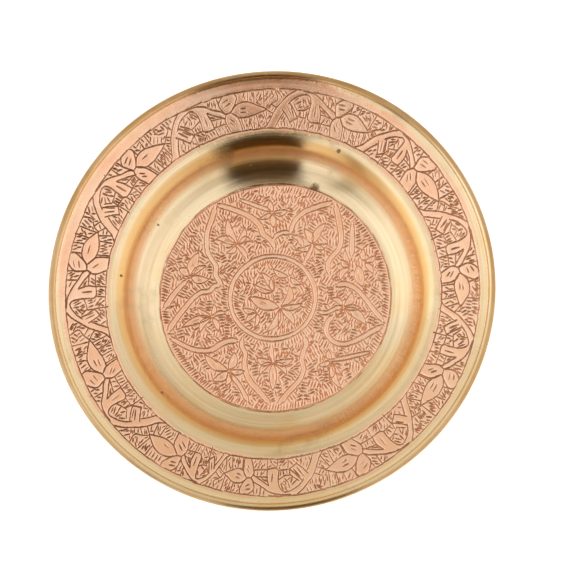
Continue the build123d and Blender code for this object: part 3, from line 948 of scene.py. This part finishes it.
co = np.concatenate([top, *rings, [[0, 0, SHEET - BED]]])
floor_piece = make_mesh("floor_copper_field", co, np.concatenate([quads, *sides]), fan(prev, len(co) - 1, True))
outward(floor_piece, 70)
vals = np.zeros(len(co))
vals[:nt] = sample(ink, plate, x, y) * k
point_values(floor_piece, "ink", vals)
vals[:nt] = sample(blur(plate.ink, 0.75, plate.step, False), plate, x, y) * k
point_values(floor_piece, "worked", vals)
vals[:nt] = sample(proud(plate, height), plate, x, y) * k
point_values(floor_piece, "proud", vals)
marks_floor = plate.count

# ------------------------------------------------------------------ the flange's engraved copper piece
plate = rim_plate(STEP)
height = surface(plate)
ink = blur(plate.ink, 0.06, plate.step, True)
NA = 3600
NV = 140
rr = np.linspace(R_BAND_OUT, R_BAND_IN, NV)
az = np.arange(NA) * 2 * math.pi / NA          # clockwise from the back
A, R = np.meshgrid(az, rr)
V = slope_v(R)
edge = np.clip(np.minimum(V, slope_v(R_BAND_IN) - V) / 0.35, 0, 1)
H = sample(height, plate, (A * R_MEAN).ravel(), V.ravel()).reshape(A.shape) * edge
rad = R - H * math.sin(FLANGE)
top = np.stack([rad * np.sin(A), rad * np.cos(A), flange_z(R) + H * math.cos(FLANGE)], -1)
rings = [top]
for rb in (R_BAND_IN, R_BAND_OUT):
    rings.append(np.stack([(rb + bx) * np.sin(az), (rb + bx) * np.cos(az), np.full(NA, flange_z(rb) - bz)], -1)[None])
grid = np.concatenate(rings, 0)
n = len(grid)
i = np.arange(n)[:, None]
j = np.arange(NA)[None, :]
i2, j2 = (i + 1) % n, (j + 1) % NA
quads = np.stack([i * NA + j, i * NA + j2, i2 * NA + j2, i2 * NA + j], -1).reshape(-1, 4)
band_piece = make_mesh("rim_copper_band", grid.reshape(-1, 3), quads)
outward(band_piece, 70)
vals = np.zeros((n, NA))
vals[:NV] = sample(ink, plate, (A * R_MEAN).ravel(), V.ravel()).reshape(A.shape) * edge
point_values(band_piece, "ink", vals)
worked = blur(plate.ink, 0.75, plate.step, True)
vals[:NV] = sample(worked, plate, (A * R_MEAN).ravel(), V.ravel()).reshape(A.shape) * edge
point_values(band_piece, "worked", vals)
vals[:NV] = sample(proud(plate, height), plate, (A * R_MEAN).ravel(), V.ravel()).reshape(A.shape) * edge
point_values(band_piece, "proud", vals)
print("chisel marks:", marks_floor, plate.count)

# ------------------------------------------------------------------ the wire in the rolled edge
wp = arc(wire_c, R_WIRE - 0.02, 0, 2 * math.pi, 25)[:-1]
co, quads = revolve(wp, 720, closed=True)
wire = make_mesh("edge_wire", co, quads)
outward(wire)

# ------------------------------------------------------------------ materials
class Nodes:
    """Short names for building a material's nodes."""

    def __init__(self, name):
        self.mat = bpy.data.materials.new(name)
        self.mat.use_nodes = True
        self.nt = self.mat.node_tree
        self.bsdf = self.nt.nodes["Principled BSDF"]

    def put(self, socket, value):
        if isinstance(value, bpy.types.NodeSocket):
            self.nt.links.new(value, socket)
        elif isinstance(value, tuple) and len(value) == 3 and socket.type == "RGBA":
            socket.default_value = (*value, 1)
        else:
            socket.default_value = value

    def math(self, op, a, b=None, c=None, clamp=False):
        n = self.nt.nodes.new("ShaderNodeMath")
        n.operation = op
        n.use_clamp = clamp
        for k, v in enumerate((a, b, c)):
            if v is not None:
                self.put(n.inputs[k], v)
        return n.outputs[0]

    def ramp(self, v, lo, hi, a=0.0, b=1.0, smooth=True):
        n = self.nt.nodes.new("ShaderNodeMapRange")
        n.interpolation_type = "SMOOTHSTEP" if smooth else "LINEAR"
        n.clamp = True
        for k, s in enumerate((v, lo, hi, a, b)):
            self.put(n.inputs[k], s)
        return n.outputs[0]

    def mix(self, f, a, b, mode="MIX"):
        n = self.nt.nodes.new("ShaderNodeMix")
        n.data_type = "RGBA"
        n.blend_type = mode
        self.put(n.inputs[0], f)
        self.put(n.inputs[6], a)
        self.put(n.inputs[7], b)
        return n.outputs[2]

    def noise(self, vec, scale, detail=3.0, rough=0.55, dim="3D", out=0):
        n = self.nt.nodes.new("ShaderNodeTexNoise")
        n.noise_dimensions = dim
        if dim == "1D":
            self.put(n.inputs["W"], vec)
        else:
            self.put(n.inputs["Vector"], vec)
        n.inputs["Scale"].default_value = scale
        n.inputs["Detail"].default_value = detail
        n.inputs["Roughness"].default_value = rough
        return n.outputs[out]

    def combine(self, x, y, z):
        n = self.nt.nodes.new("ShaderNodeCombineXYZ")
        for k, v in enumerate((x, y, z)):
            self.put(n.inputs[k], v)
        return n.outputs[0]

    def attribute(self, name):
        n = self.nt.nodes.new("ShaderNodeAttribute")
        n.attribute_name = name
        return n.outputs["Fac"]

    def bump(self, height, strength, distance, normal=None):
        n = self.nt.nodes.new("ShaderNodeBump")
        n.inputs["Strength"].default_value = strength
        n.inputs["Distance"].default_value = distance
        self.put(n.inputs["Height"], height)
        if normal is not None:
            self.put(n.inputs["Normal"], normal)
        return n.outputs[0]


BRASS = (0.90, 0.67, 0.38)
BRASS_DEEP = (0.87, 0.60, 0.29)
# next: a painted reflection colour, the copper floor seen in the brass wall
BRASS_WALL_REFLECTION = (0.85, 0.475, 0.16)
BRASS_BEAD = (0.56, 0.31, 0.11)
COPPER = (0.98, 0.53, 0.305)
COPPER_DEEP = (0.95, 0.49, 0.26)
COPPER_PALE = (0.98, 0.64, 0.41)
COPPER_WORKED = (0.82, 0.34, 0.15)
MARK = (0.24, 0.085, 0.026)
MARK_SOFT = (0.43, 0.135, 0.044)
TARNISH = (0.24, 0.13, 0.05)
# next: a painted highlight colour for the raised lips beside the marks
COPPER_HIGHLIGHT = (1.0, 0.68, 0.45)


# spots of tarnish: x, y, size in metres, and how dark
STAINS = ((0.0219, 0.0622, 0.0033, 0.88), (0.0372, 0.0795, 0.0013, 0.8),
          (-0.0850, 0.0105, 0.0008, 0.9), (-0.0655, 0.0415, 0.0007, 0.85), (-0.0620, -0.0560, 0.0009, 0.8))


def metal(name, engraved):
    """Brass with its copper wash: the wash lies where the engraving is and fades at its edges."""
    g = Nodes(name)
    nt = g.nt
    pos = nt.nodes.new("ShaderNodeTexCoord").outputs["Object"]
    sep = nt.nodes.new("ShaderNodeSeparateXYZ")
    nt.links.new(pos, sep.inputs[0])
    X, Y, Z = sep.outputs
    rad = g.math("SQRT", g.math("ADD", g.math("MULTIPLY", X, X), g.math("MULTIPLY", Y, Y)))
    xb = g.math("SUBTRACT", X, 0.0003)
    yb = g.math("ADD", Y, 0.0012)
    rad_b = g.math("SQRT", g.math("ADD", g.math("MULTIPLY", xb, xb), g.math("MULTIPLY", yb, yb)))
    safe = g.math("MAXIMUM", rad, 0.0005)
    ux, uy = g.math("DIVIDE", X, safe), g.math("DIVIDE", Y, safe)
    # uneven edges of the wash
    blot = g.math("SUBTRACT", g.noise(pos, 55.0, 3.0), 0.5)
    blot2 = g.math("SUBTRACT", g.noise(pos, 420.0, 2.0), 0.5)
    rb = g.math("ADD", rad_b, g.math("ADD", g.math("MULTIPLY", blot, 0.0062), g.math("MULTIPLY", blot2, 0.0016)))
    rf = g.math("ADD", rad, g.math("ADD", g.math("MULTIPLY", blot, 0.0008), g.math("MULTIPLY", blot2, 0.0005)))
    up = nt.nodes.new("ShaderNodeNewGeometry").outputs["Normal"]
    sepn = nt.nodes.new("ShaderNodeSeparateXYZ")
    nt.links.new(up, sepn.inputs[0])
    facing = g.ramp(sepn.outputs[2], 0.0, 0.3)
    m_floor = g.ramp(rf, 0.0651, 0.0659, 1.0, 0.0)
    # at the back left the wash was buffed off less, and reaches the rolled edge
    back_left = g.math("SUBTRACT", g.math("MULTIPLY", uy, 0.906), g.math("MULTIPLY", ux, 0.42))
    rb_out = g.math("SUBTRACT", rb, g.math("SUBTRACT", g.ramp(back_left, 0.12, 0.90, 0.0, 0.0044), g.ramp(back_left, -0.7, 0.1, 0.0018, 0.0)))
    m_band = g.math("MULTIPLY", g.ramp(rb, 0.0912, 0.0940), g.ramp(rb_out, 0.1160, 0.1192, 1.0, 0.0))
    wash = g.math("MULTIPLY", g.math("MAXIMUM", m_floor, m_band), facing, clamp=True)
    # colour of the two metals, each with slow variation
    slow = g.noise(pos, 26.0, 4.0, 0.6)
    mid = g.noise(pos, 140.0, 4.0, 0.6)
    lathe_v = g.combine(g.math("MULTIPLY", ux, 1.6), g.math("MULTIPLY", uy, 1.6), g.math("MULTIPLY", rad, 1500.0))
    lathe = g.noise(lathe_v, 1.0, 4.0, 0.65)
    ring_v = g.combine(g.math("MULTIPLY", ux, 0.5), g.math("MULTIPLY", uy, 0.5), g.math("MULTIPLY", rad, 330.0))
    rings = g.noise(ring_v, 1.0, 2.0, 0.5)
    brass = g.mix(g.ramp(slow, 0.42, 0.72), BRASS, BRASS_DEEP)
    brass = g.mix(g.math("MULTIPLY", g.ramp(lathe, 0.52, 0.8), 0.35), brass, BRASS_DEEP)
    copper = g.mix(g.ramp(mid, 0.35, 0.7), COPPER, COPPER_DEEP)
    copper = g.mix(g.math("MULTIPLY", g.ramp(slow, 0.45, 0.65), 0.55), copper, COPPER_PALE)
    # the wash has worn thin in places, most at the front
    thin = g.math("ADD", g.ramp(g.noise(pos, 30.0, 4.0, 0.6), 0.44, 0.68, 0.0, 0.45), g.ramp(uy, 0.1, -0.9, 0.0, 0.15))
    copper = g.mix(g.math("MULTIPLY", thin, g.ramp(rad, 0.060, 0.075, 0.35, 1.0)), copper, (0.96, 0.60, 0.33))
    # broad rings of more and less buffed metal
    tone = g.math("ADD", g.ramp(rings, 0.30, 0.70, 0.84, 1.09, smooth=False), g.ramp(lathe, 0.30, 0.70, -0.10, 0.09, smooth=False))
    brass = g.mix(1.0, brass, g.combine(tone, tone, tone), "MULTIPLY")
    # painted highlight: a pale ring where the concave foot of the wall catches the light
    foot_highlight = g.ramp(g.math("ABSOLUTE", g.math("SUBTRACT", rad, 0.0793)), 0.0010, 0.0036, 0.85, 0.0)
    brass = g.mix(foot_highlight, brass, (0.99, 0.79, 0.50))
    # painted reflection: an orange ring on the wall, the copper floor's reflection painted into the brass
    near = g.math("ABSOLUTE", g.math("SUBTRACT", rad, 0.0853))
    wall_reflection = g.math("MULTIPLY", g.ramp(near, 0.0008, 0.0040, 1.0, 0.0), g.ramp(slow, 0.2, 0.8, 0.75, 1.0))
    brass = g.mix(wall_reflection, brass, BRASS_WALL_REFLECTION)
    # the rolled edge is less polished, and its colour is darker
    edge_r = g.math("SUBTRACT", rad, g.ramp(back_left, -0.3, 0.6, 0.0013, 0.0))
    bead = g.math("MULTIPLY", g.ramp(edge_r, 0.1212, 0.1222), g.ramp(slow, 0.3, 0.7, 0.65, 1.0))
    brass = g.mix(bead, brass, BRASS_BEAD)
    col = g.mix(wash, brass, copper)
    # dirt in the step at the floor's border
    step = g.math("MULTIPLY", g.ramp(g.math("ABSOLUTE", g.math("SUBTRACT", rf, 0.0654)), 0.0002, 0.0006, 1.0, 0.0),
                  g.ramp(g.noise(pos, 130.0, 3.0), 0.40, 0.60, 0.15, 0.80))
    col = g.mix(step, col, (0.36, 0.15, 0.06))
    # tarnish: specks and soft smears
    speck = g.ramp(g.noise(pos, 900.0, 2.0, 0.5), 0.70, 0.78)
    smear = g.math("MULTIPLY", g.ramp(g.noise(pos, 34.0, 5.0, 0.62), 0.57, 0.76), 0.30)
    tarn = g.math("MULTIPLY", speck, 0.45)
    for sx, sy, size, amount in STAINS:
        dx, dy = g.math("SUBTRACT", X, sx), g.math("SUBTRACT", Y, sy)
        dd = g.math("SQRT", g.math("ADD", g.math("MULTIPLY", dx, dx), g.math("MULTIPLY", dy, dy)))
        dd = g.math("ADD", dd, g.math("MULTIPLY", blot2, size * 1.6))
        tarn = g.math("MAXIMUM", tarn, g.ramp(dd, size * 0.45, size * 1.15, amount, 0.0))
    tarn = g.math("MAXIMUM", tarn, g.math("MULTIPLY", smear, g.math("SUBTRACT", 1.0, g.math("MULTIPLY", wash, 0.6))))
    col = g.mix(tarn, col, TARNISH)
    rough_b = g.math("ADD", g.ramp(slow, 0.3, 0.75, 0.165, 0.205), g.math("MULTIPLY", g.math("SUBTRACT", lathe, 0.5), 0.16))
    rough_b = g.math("ADD", rough_b, g.math("MULTIPLY", bead, 0.16))
    rough_c = g.ramp(mid, 0.3, 0.75, 0.19, 0.28)
    rough = g.mix(wash, g.combine(rough_b, rough_b, rough_b), g.combine(rough_c, rough_c, rough_c))
    metallic = 1.0
    if engraved:
        ink = g.attribute("ink")
        fleck = g.noise(pos, 1500.0, 3.0, 0.6)
        k = g.math("MULTIPLY", g.ramp(ink, 0.12, 0.85), g.ramp(fleck, 0.2, 0.6, 0.72, 1.0), clamp=True)
        # the worked ground between the marks stays duller than the plain lands
        col = g.mix(g.math("MULTIPLY", g.ramp(g.attribute("worked"), 0.10, 0.55), 0.80), col, COPPER_WORKED)
        # the lips thrown up beside the marks are painted paler: partly their rubbed wear, partly a painted highlight
        # on the raised edges
        lip_highlight = g.math("MULTIPLY", g.ramp(g.attribute("proud"), 0.20, 0.85), g.ramp(fleck, 0.25, 0.6, 0.6, 1.0))
        col = g.mix(g.math("MULTIPLY", lip_highlight, 0.88), col, COPPER_HIGHLIGHT)
        # the marks of the flange have gone darker than those of the floor; the extra darkening towards the left is
        # painted shade
        side = g.ramp(ux, -1.0, 0.7, 1.0, 0.72)
        on_floor = g.ramp(rad, 0.070, 0.075, 1.0, 0.0)
        patina_and_shade = g.math("SUBTRACT", side, g.math("MULTIPLY", on_floor, 0.16))
        patina_and_shade = g.math("MULTIPLY", patina_and_shade, g.ramp(g.noise(pos, 45.0, 3.0), 0.3, 0.65, 0.75, 1.10))
        col = g.mix(g.math("MULTIPLY", k, patina_and_shade, clamp=True), col, g.mix(on_floor, MARK, MARK_SOFT))
        sepr = nt.nodes.new("ShaderNodeSeparateXYZ")
        nt.links.new(rough, sepr.inputs[0])
        rough = g.math("ADD", sepr.outputs[0], g.math("MULTIPLY", k, 0.28))
        metallic = g.math("SUBTRACT", 1.0, g.math("MULTIPLY", k, 0.12))
    else:
        sepr = nt.nodes.new("ShaderNodeSeparateXYZ")
        nt.links.new(rough, sepr.inputs[0])
        rough = sepr.outputs[0]
    rough = g.math("ADD", rough, g.math("MULTIPLY", tarn, 0.35))
    b = g.bsdf
    g.put(b.inputs["Base Color"], col)
    g.put(b.inputs["Roughness"], rough)
    g.put(b.inputs["Metallic"], metallic)
    # lathe lines on the brass; a finer tooth on the wash
    b1 = g.bump(g.math("MULTIPLY", lathe, g.math("SUBTRACT", 1.0, g.math("MULTIPLY", wash, 0.8))), 0.7, 0.00006)
    b2 = g.bump(g.math("MULTIPLY", rings, g.math("SUBTRACT", 1.0, g.math("MULTIPLY", wash, 0.8))), 0.9, 0.00022, b1)
    tooth = g.noise(pos, 2600.0, 3.0, 0.6)
    b3 = g.bump(g.math("ADD", g.math("MULTIPLY", tooth, wash), g.math("MULTIPLY", speck, -0.3)), 0.5, 0.00005, b2)
    g.put(b.inputs["Normal"], b3)
    if not engraved:
        b.inputs["Anisotropic"].default_value = 0.93
        b.inputs["Anisotropic Rotation"].default_value = 0.25
        tan = nt.nodes.new("ShaderNodeTangent")
        tan.direction_type = "RADIAL"
        tan.axis = "Z"
        nt.links.new(tan.outputs[0], b.inputs["Tangent"])
    return g.mat


def iron():
    g = Nodes("iron_wire")
    pos = g.nt.nodes.new("ShaderNodeTexCoord").outputs["Object"]
    n = g.noise(pos, 600.0, 4.0, 0.6)
    rust = g.ramp(g.noise(pos, 170.0, 4.0, 0.65), 0.5, 0.68)
    g.put(g.bsdf.inputs["Base Color"], g.mix(rust, g.mix(n, (0.30, 0.28, 0.26), (0.45, 0.43, 0.41)), (0.20, 0.09, 0.04)))
    g.put(g.bsdf.inputs["Metallic"], g.math("SUBTRACT", 1.0, g.math("MULTIPLY", rust, 0.8)))
    g.put(g.bsdf.inputs["Roughness"], g.ramp(n, 0.3, 0.7, 0.38, 0.6))
    g.put(g.bsdf.inputs["Normal"], g.bump(n, 0.4, 0.00005))
    return g.mat


brass_mat = metal("polished_brass", False)
copper_mat = metal("copper_wash", True)
iron_mat = iron()
for ob, m in ((body, brass_mat), (floor_piece, copper_mat), (band_piece, copper_mat), (wire, iron_mat)):
    ob.data.materials.clear()
    ob.data.materials.append(m)

for ob, node, slot in (
    (body, "dish", "polished_brass"),
    (floor_piece, "floor_copper_layer", "copper_wash"),
    (band_piece, "flange_copper_layer", "copper_wash"),
    (wire, "rim_wire", "iron_wire"),
):
    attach(ob, "root")
    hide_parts(node)

# ------------------------------------------------------------------ studio
def stage_plane(name, size, loc, rot, color, glow=0.0, camera=True):
    me = bpy.data.meshes.new(name)
    me.from_pydata([(-.5, -.5, 0), (.5, -.5, 0), (.5, .5, 0), (-.5, .5, 0)], [], [(0, 1, 2, 3)])
    o = bpy.data.objects.new(name, me)
    bpy.context.scene.collection.objects.link(o)
    o.location, o.rotation_euler = loc, rot
    o.scale = (size[0], size[1], 1)
    m = bpy.data.materials.new(name)
    m.use_nodes = True
    b = m.node_tree.nodes["Principled BSDF"]
    b.inputs["Base Color"].default_value = (*color, 1)
    b.inputs["Roughness"].default_value = 0.9
    b.inputs["Specular IOR Level"].default_value = 0.0
    if glow:
        b.inputs["Emission Color"].default_value = (1, 1, 1, 1)
        b.inputs["Emission Strength"].default_value = glow
    o.data.materials.append(m)
    o.visible_camera = camera
    return o


def softbox(name, loc, target, sx, sy, radiance, color=(1, 1, 1)):
    l = bpy.data.lights.new(name, "AREA")
    l.shape = "RECTANGLE"
    l.size, l.size_y = sx, sy
    l.energy = radiance * math.pi * sx * sy
    l.color = color
    o = bpy.data.objects.new(name, l)
    o.location = loc
    d = Vector(target) - Vector(loc)
    o.rotation_euler = d.to_track_quat("-Z", "Y").to_euler()
    bpy.context.scene.collection.objects.link(o)
    return o


stage_plane("floor", (14, 14), (0, 0, 0), (0, 0, 0), (0.95, 0.95, 0.945), glow=0.47)
for s, name in ((-1, "soft_left"), (1, "soft_right")):
    o = softbox(name, (s * 1.5, -0.2, 1.3), (0, 0, 0), 1.4, 1.4, 0.10)
    o.visible_camera = False

# The room as the metal sees it: bright sheets left and right, a dimmer back, and a dark
# column in front, narrowing overhead, where the camera and its stand are.
w = bpy.data.worlds.new("studio")
bpy.context.scene.world = w
w.use_nodes = True
g = Nodes.__new__(Nodes)
g.nt = w.node_tree
bg = g.nt.nodes["Background"]
sep = g.nt.nodes.new("ShaderNodeSeparateXYZ")
g.nt.links.new(g.nt.nodes.new("ShaderNodeTexCoord").outputs["Generated"], sep.inputs[0])
DX, DY, DZ = sep.outputs
turn = g.math("FRACT", g.math("ADD", g.math("DIVIDE", g.math("ARCTAN2", DX, DY), 2 * math.pi), 1.0))
ramp = g.nt.nodes.new("ShaderNodeValToRGB")
ramp.color_ramp.interpolation = "EASE"
stops = (       # turn clockwise from the back (+Y), and the light from there
    (0.00, (0.64, 0.62, 0.57)), (0.10, (0.80, 0.79, 0.79)), (0.18, (0.93, 0.95, 1.02)),
    (0.25, (1.06, 1.13, 1.32)), (0.36, (0.97, 1.00, 1.08)), (0.42, (0.80, 0.80, 0.80)),
    (0.575, (1.02, 1.06, 1.16)), (0.63, (0.76, 0.77, 0.80)), (0.70, (1.02, 1.10, 1.26)),
    (0.76, (1.10, 1.22, 1.46)), (0.85, (0.91, 0.93, 0.98)), (0.93, (0.76, 0.75, 0.73)),
    (1.00, (0.64, 0.62, 0.57)))
el = ramp.color_ramp.elements
el[0].position, el[0].color = stops[0][0], (*stops[0][1], 1)
el[1].position, el[1].color = stops[-1][0], (*stops[-1][1], 1)
for p, c in stops[1:-1]:
    e = el.new(p)
    e.color = (*c, 1)
g.nt.links.new(turn, ramp.inputs[0])
high = g.ramp(DZ, 0.62, 0.93)
flat = g.math("SQRT", g.math("ADD", g.math("POWER", g.math("ADD", DX, 0.07), 2.0), g.math("POWER", g.math("SUBTRACT", DY, 0.19), 2.0)))
light = g.mix(high, ramp.outputs[0], g.mix(g.ramp(DY, 0.16, 0.50), (1.08, 1.15, 1.30), (0.74, 0.73, 0.70)))
# straight overhead, where only the flat floor looks, it is a little dimmer
light = g.mix(g.ramp(flat, 0.12, 0.36, 0.60, 0.0), light, (0.72, 0.71, 0.70))
# and low at the left it is brighter, which picks out the slopes of the engraving
low = g.math("MULTIPLY", g.math("MULTIPLY", g.ramp(DX, -0.25, -0.6), g.ramp(g.math("ABSOLUTE", DY), 0.22, 0.42, 1.0, 0.0)), g.math("MULTIPLY", g.ramp(DZ, 0.15, 0.4), g.ramp(DZ, 0.70, 0.90, 1.0, 0.0)))
light = g.mix(low, light, (1.22, 1.28, 1.42))
front = g.math("MULTIPLY", DY, -1.0)
reach = g.math("SUBTRACT", front, 0.15)
right_edge = g.math("ADD", g.math("MULTIPLY", reach, 0.40), 0.042)
left_edge = g.math("SUBTRACT", g.math("MULTIPLY", reach, -0.19), 0.168)
off = g.math("SUBTRACT", DX, right_edge)
m1 = g.mix(g.ramp(front, 0.15, 0.36), g.combine(g.ramp(off, -0.12, 0.07, 1.0, 0.0), 0.0, 0.0),
           g.combine(g.ramp(off, -0.02, 0.04, 1.0, 0.0), 0.0, 0.0))
seps = g.nt.nodes.new("ShaderNodeSeparateXYZ")
g.nt.links.new(m1, seps.inputs[0])
m2 = g.ramp(g.math("SUBTRACT", DX, left_edge), -0.012, 0.012, 0.0, 1.0)
m3 = g.math("MULTIPLY", g.ramp(front, -0.20, -0.06), g.ramp(DZ, 0.0, 0.04))
dark = g.math("MULTIPLY", g.math("MULTIPLY", seps.outputs[0], m2), m3)
gloom = g.mix(g.ramp(front, 0.18, 0.42), (0.20, 0.15, 0.09), (0.060, 0.036, 0.017))
gloom = g.mix(g.ramp(front, 0.55, 0.75), gloom, (0.060, 0.034, 0.011))
gloom = g.mix(g.ramp(DZ, 0.04, 0.26), (0.40, 0.27, 0.14), gloom)
light = g.mix(dark, light, gloom)
# a light stand, front left
stand = g.math("MULTIPLY", g.ramp(g.math("ABSOLUTE", g.math("SUBTRACT", turn, 0.622)), 0.004, 0.020, 1.0, 0.0),
               g.ramp(DZ, 0.93, 0.80))
light = g.mix(g.math("MULTIPLY", stand, 0.55), light, (0.32, 0.26, 0.17))
lp = g.nt.nodes.new("ShaderNodeLightPath")
g.nt.links.new(g.mix(lp.outputs["Is Camera Ray"], light, (1.0, 1.0, 1.0)), bg.inputs[0])
bg.inputs[1].default_value = 1.0

# ------------------------------------------------------------------ camera
TILT = math.radians(11.9)
AZ = math.radians(22.5)      # how far the view leans round from -Y to +X
DIST = 3.0
PX = 0.5572 * MM              # width one step of the frame covers at the tray's edge
view_dir = Vector((math.sin(TILT) * math.sin(AZ), -math.sin(TILT) * math.cos(AZ), math.cos(TILT)))
cam_data = bpy.data.cameras.new("camera")
cam_data.sensor_width = 36.0
cam_data.lens = 36.0 * (DIST / (576 * PX))
cam = bpy.data.objects.new("camera", cam_data)
bpy.context.scene.collection.objects.link(cam)
# image up is the direction of +Y as seen, so the ornament keeps its place
up = (Vector((0, 1, 0)) - view_dir * view_dir.y).normalized()
right = up.cross(view_dir).normalized()
aim = Vector((0, 0, 26.3 * MM)) + right * (288 - 271.3) * PX + up * (289.0 - 288) * PX
cam.location = aim + view_dir * DIST
cam.rotation_euler = Matrix((right, up, view_dir)).transposed().to_euler()
cam_data.clip_start, cam_data.clip_end = 0.1, 30
bpy.context.scene.camera = cam

sc = bpy.context.scene
sc.view_settings.view_transform = "Standard"
sc.view_settings.look = "None"
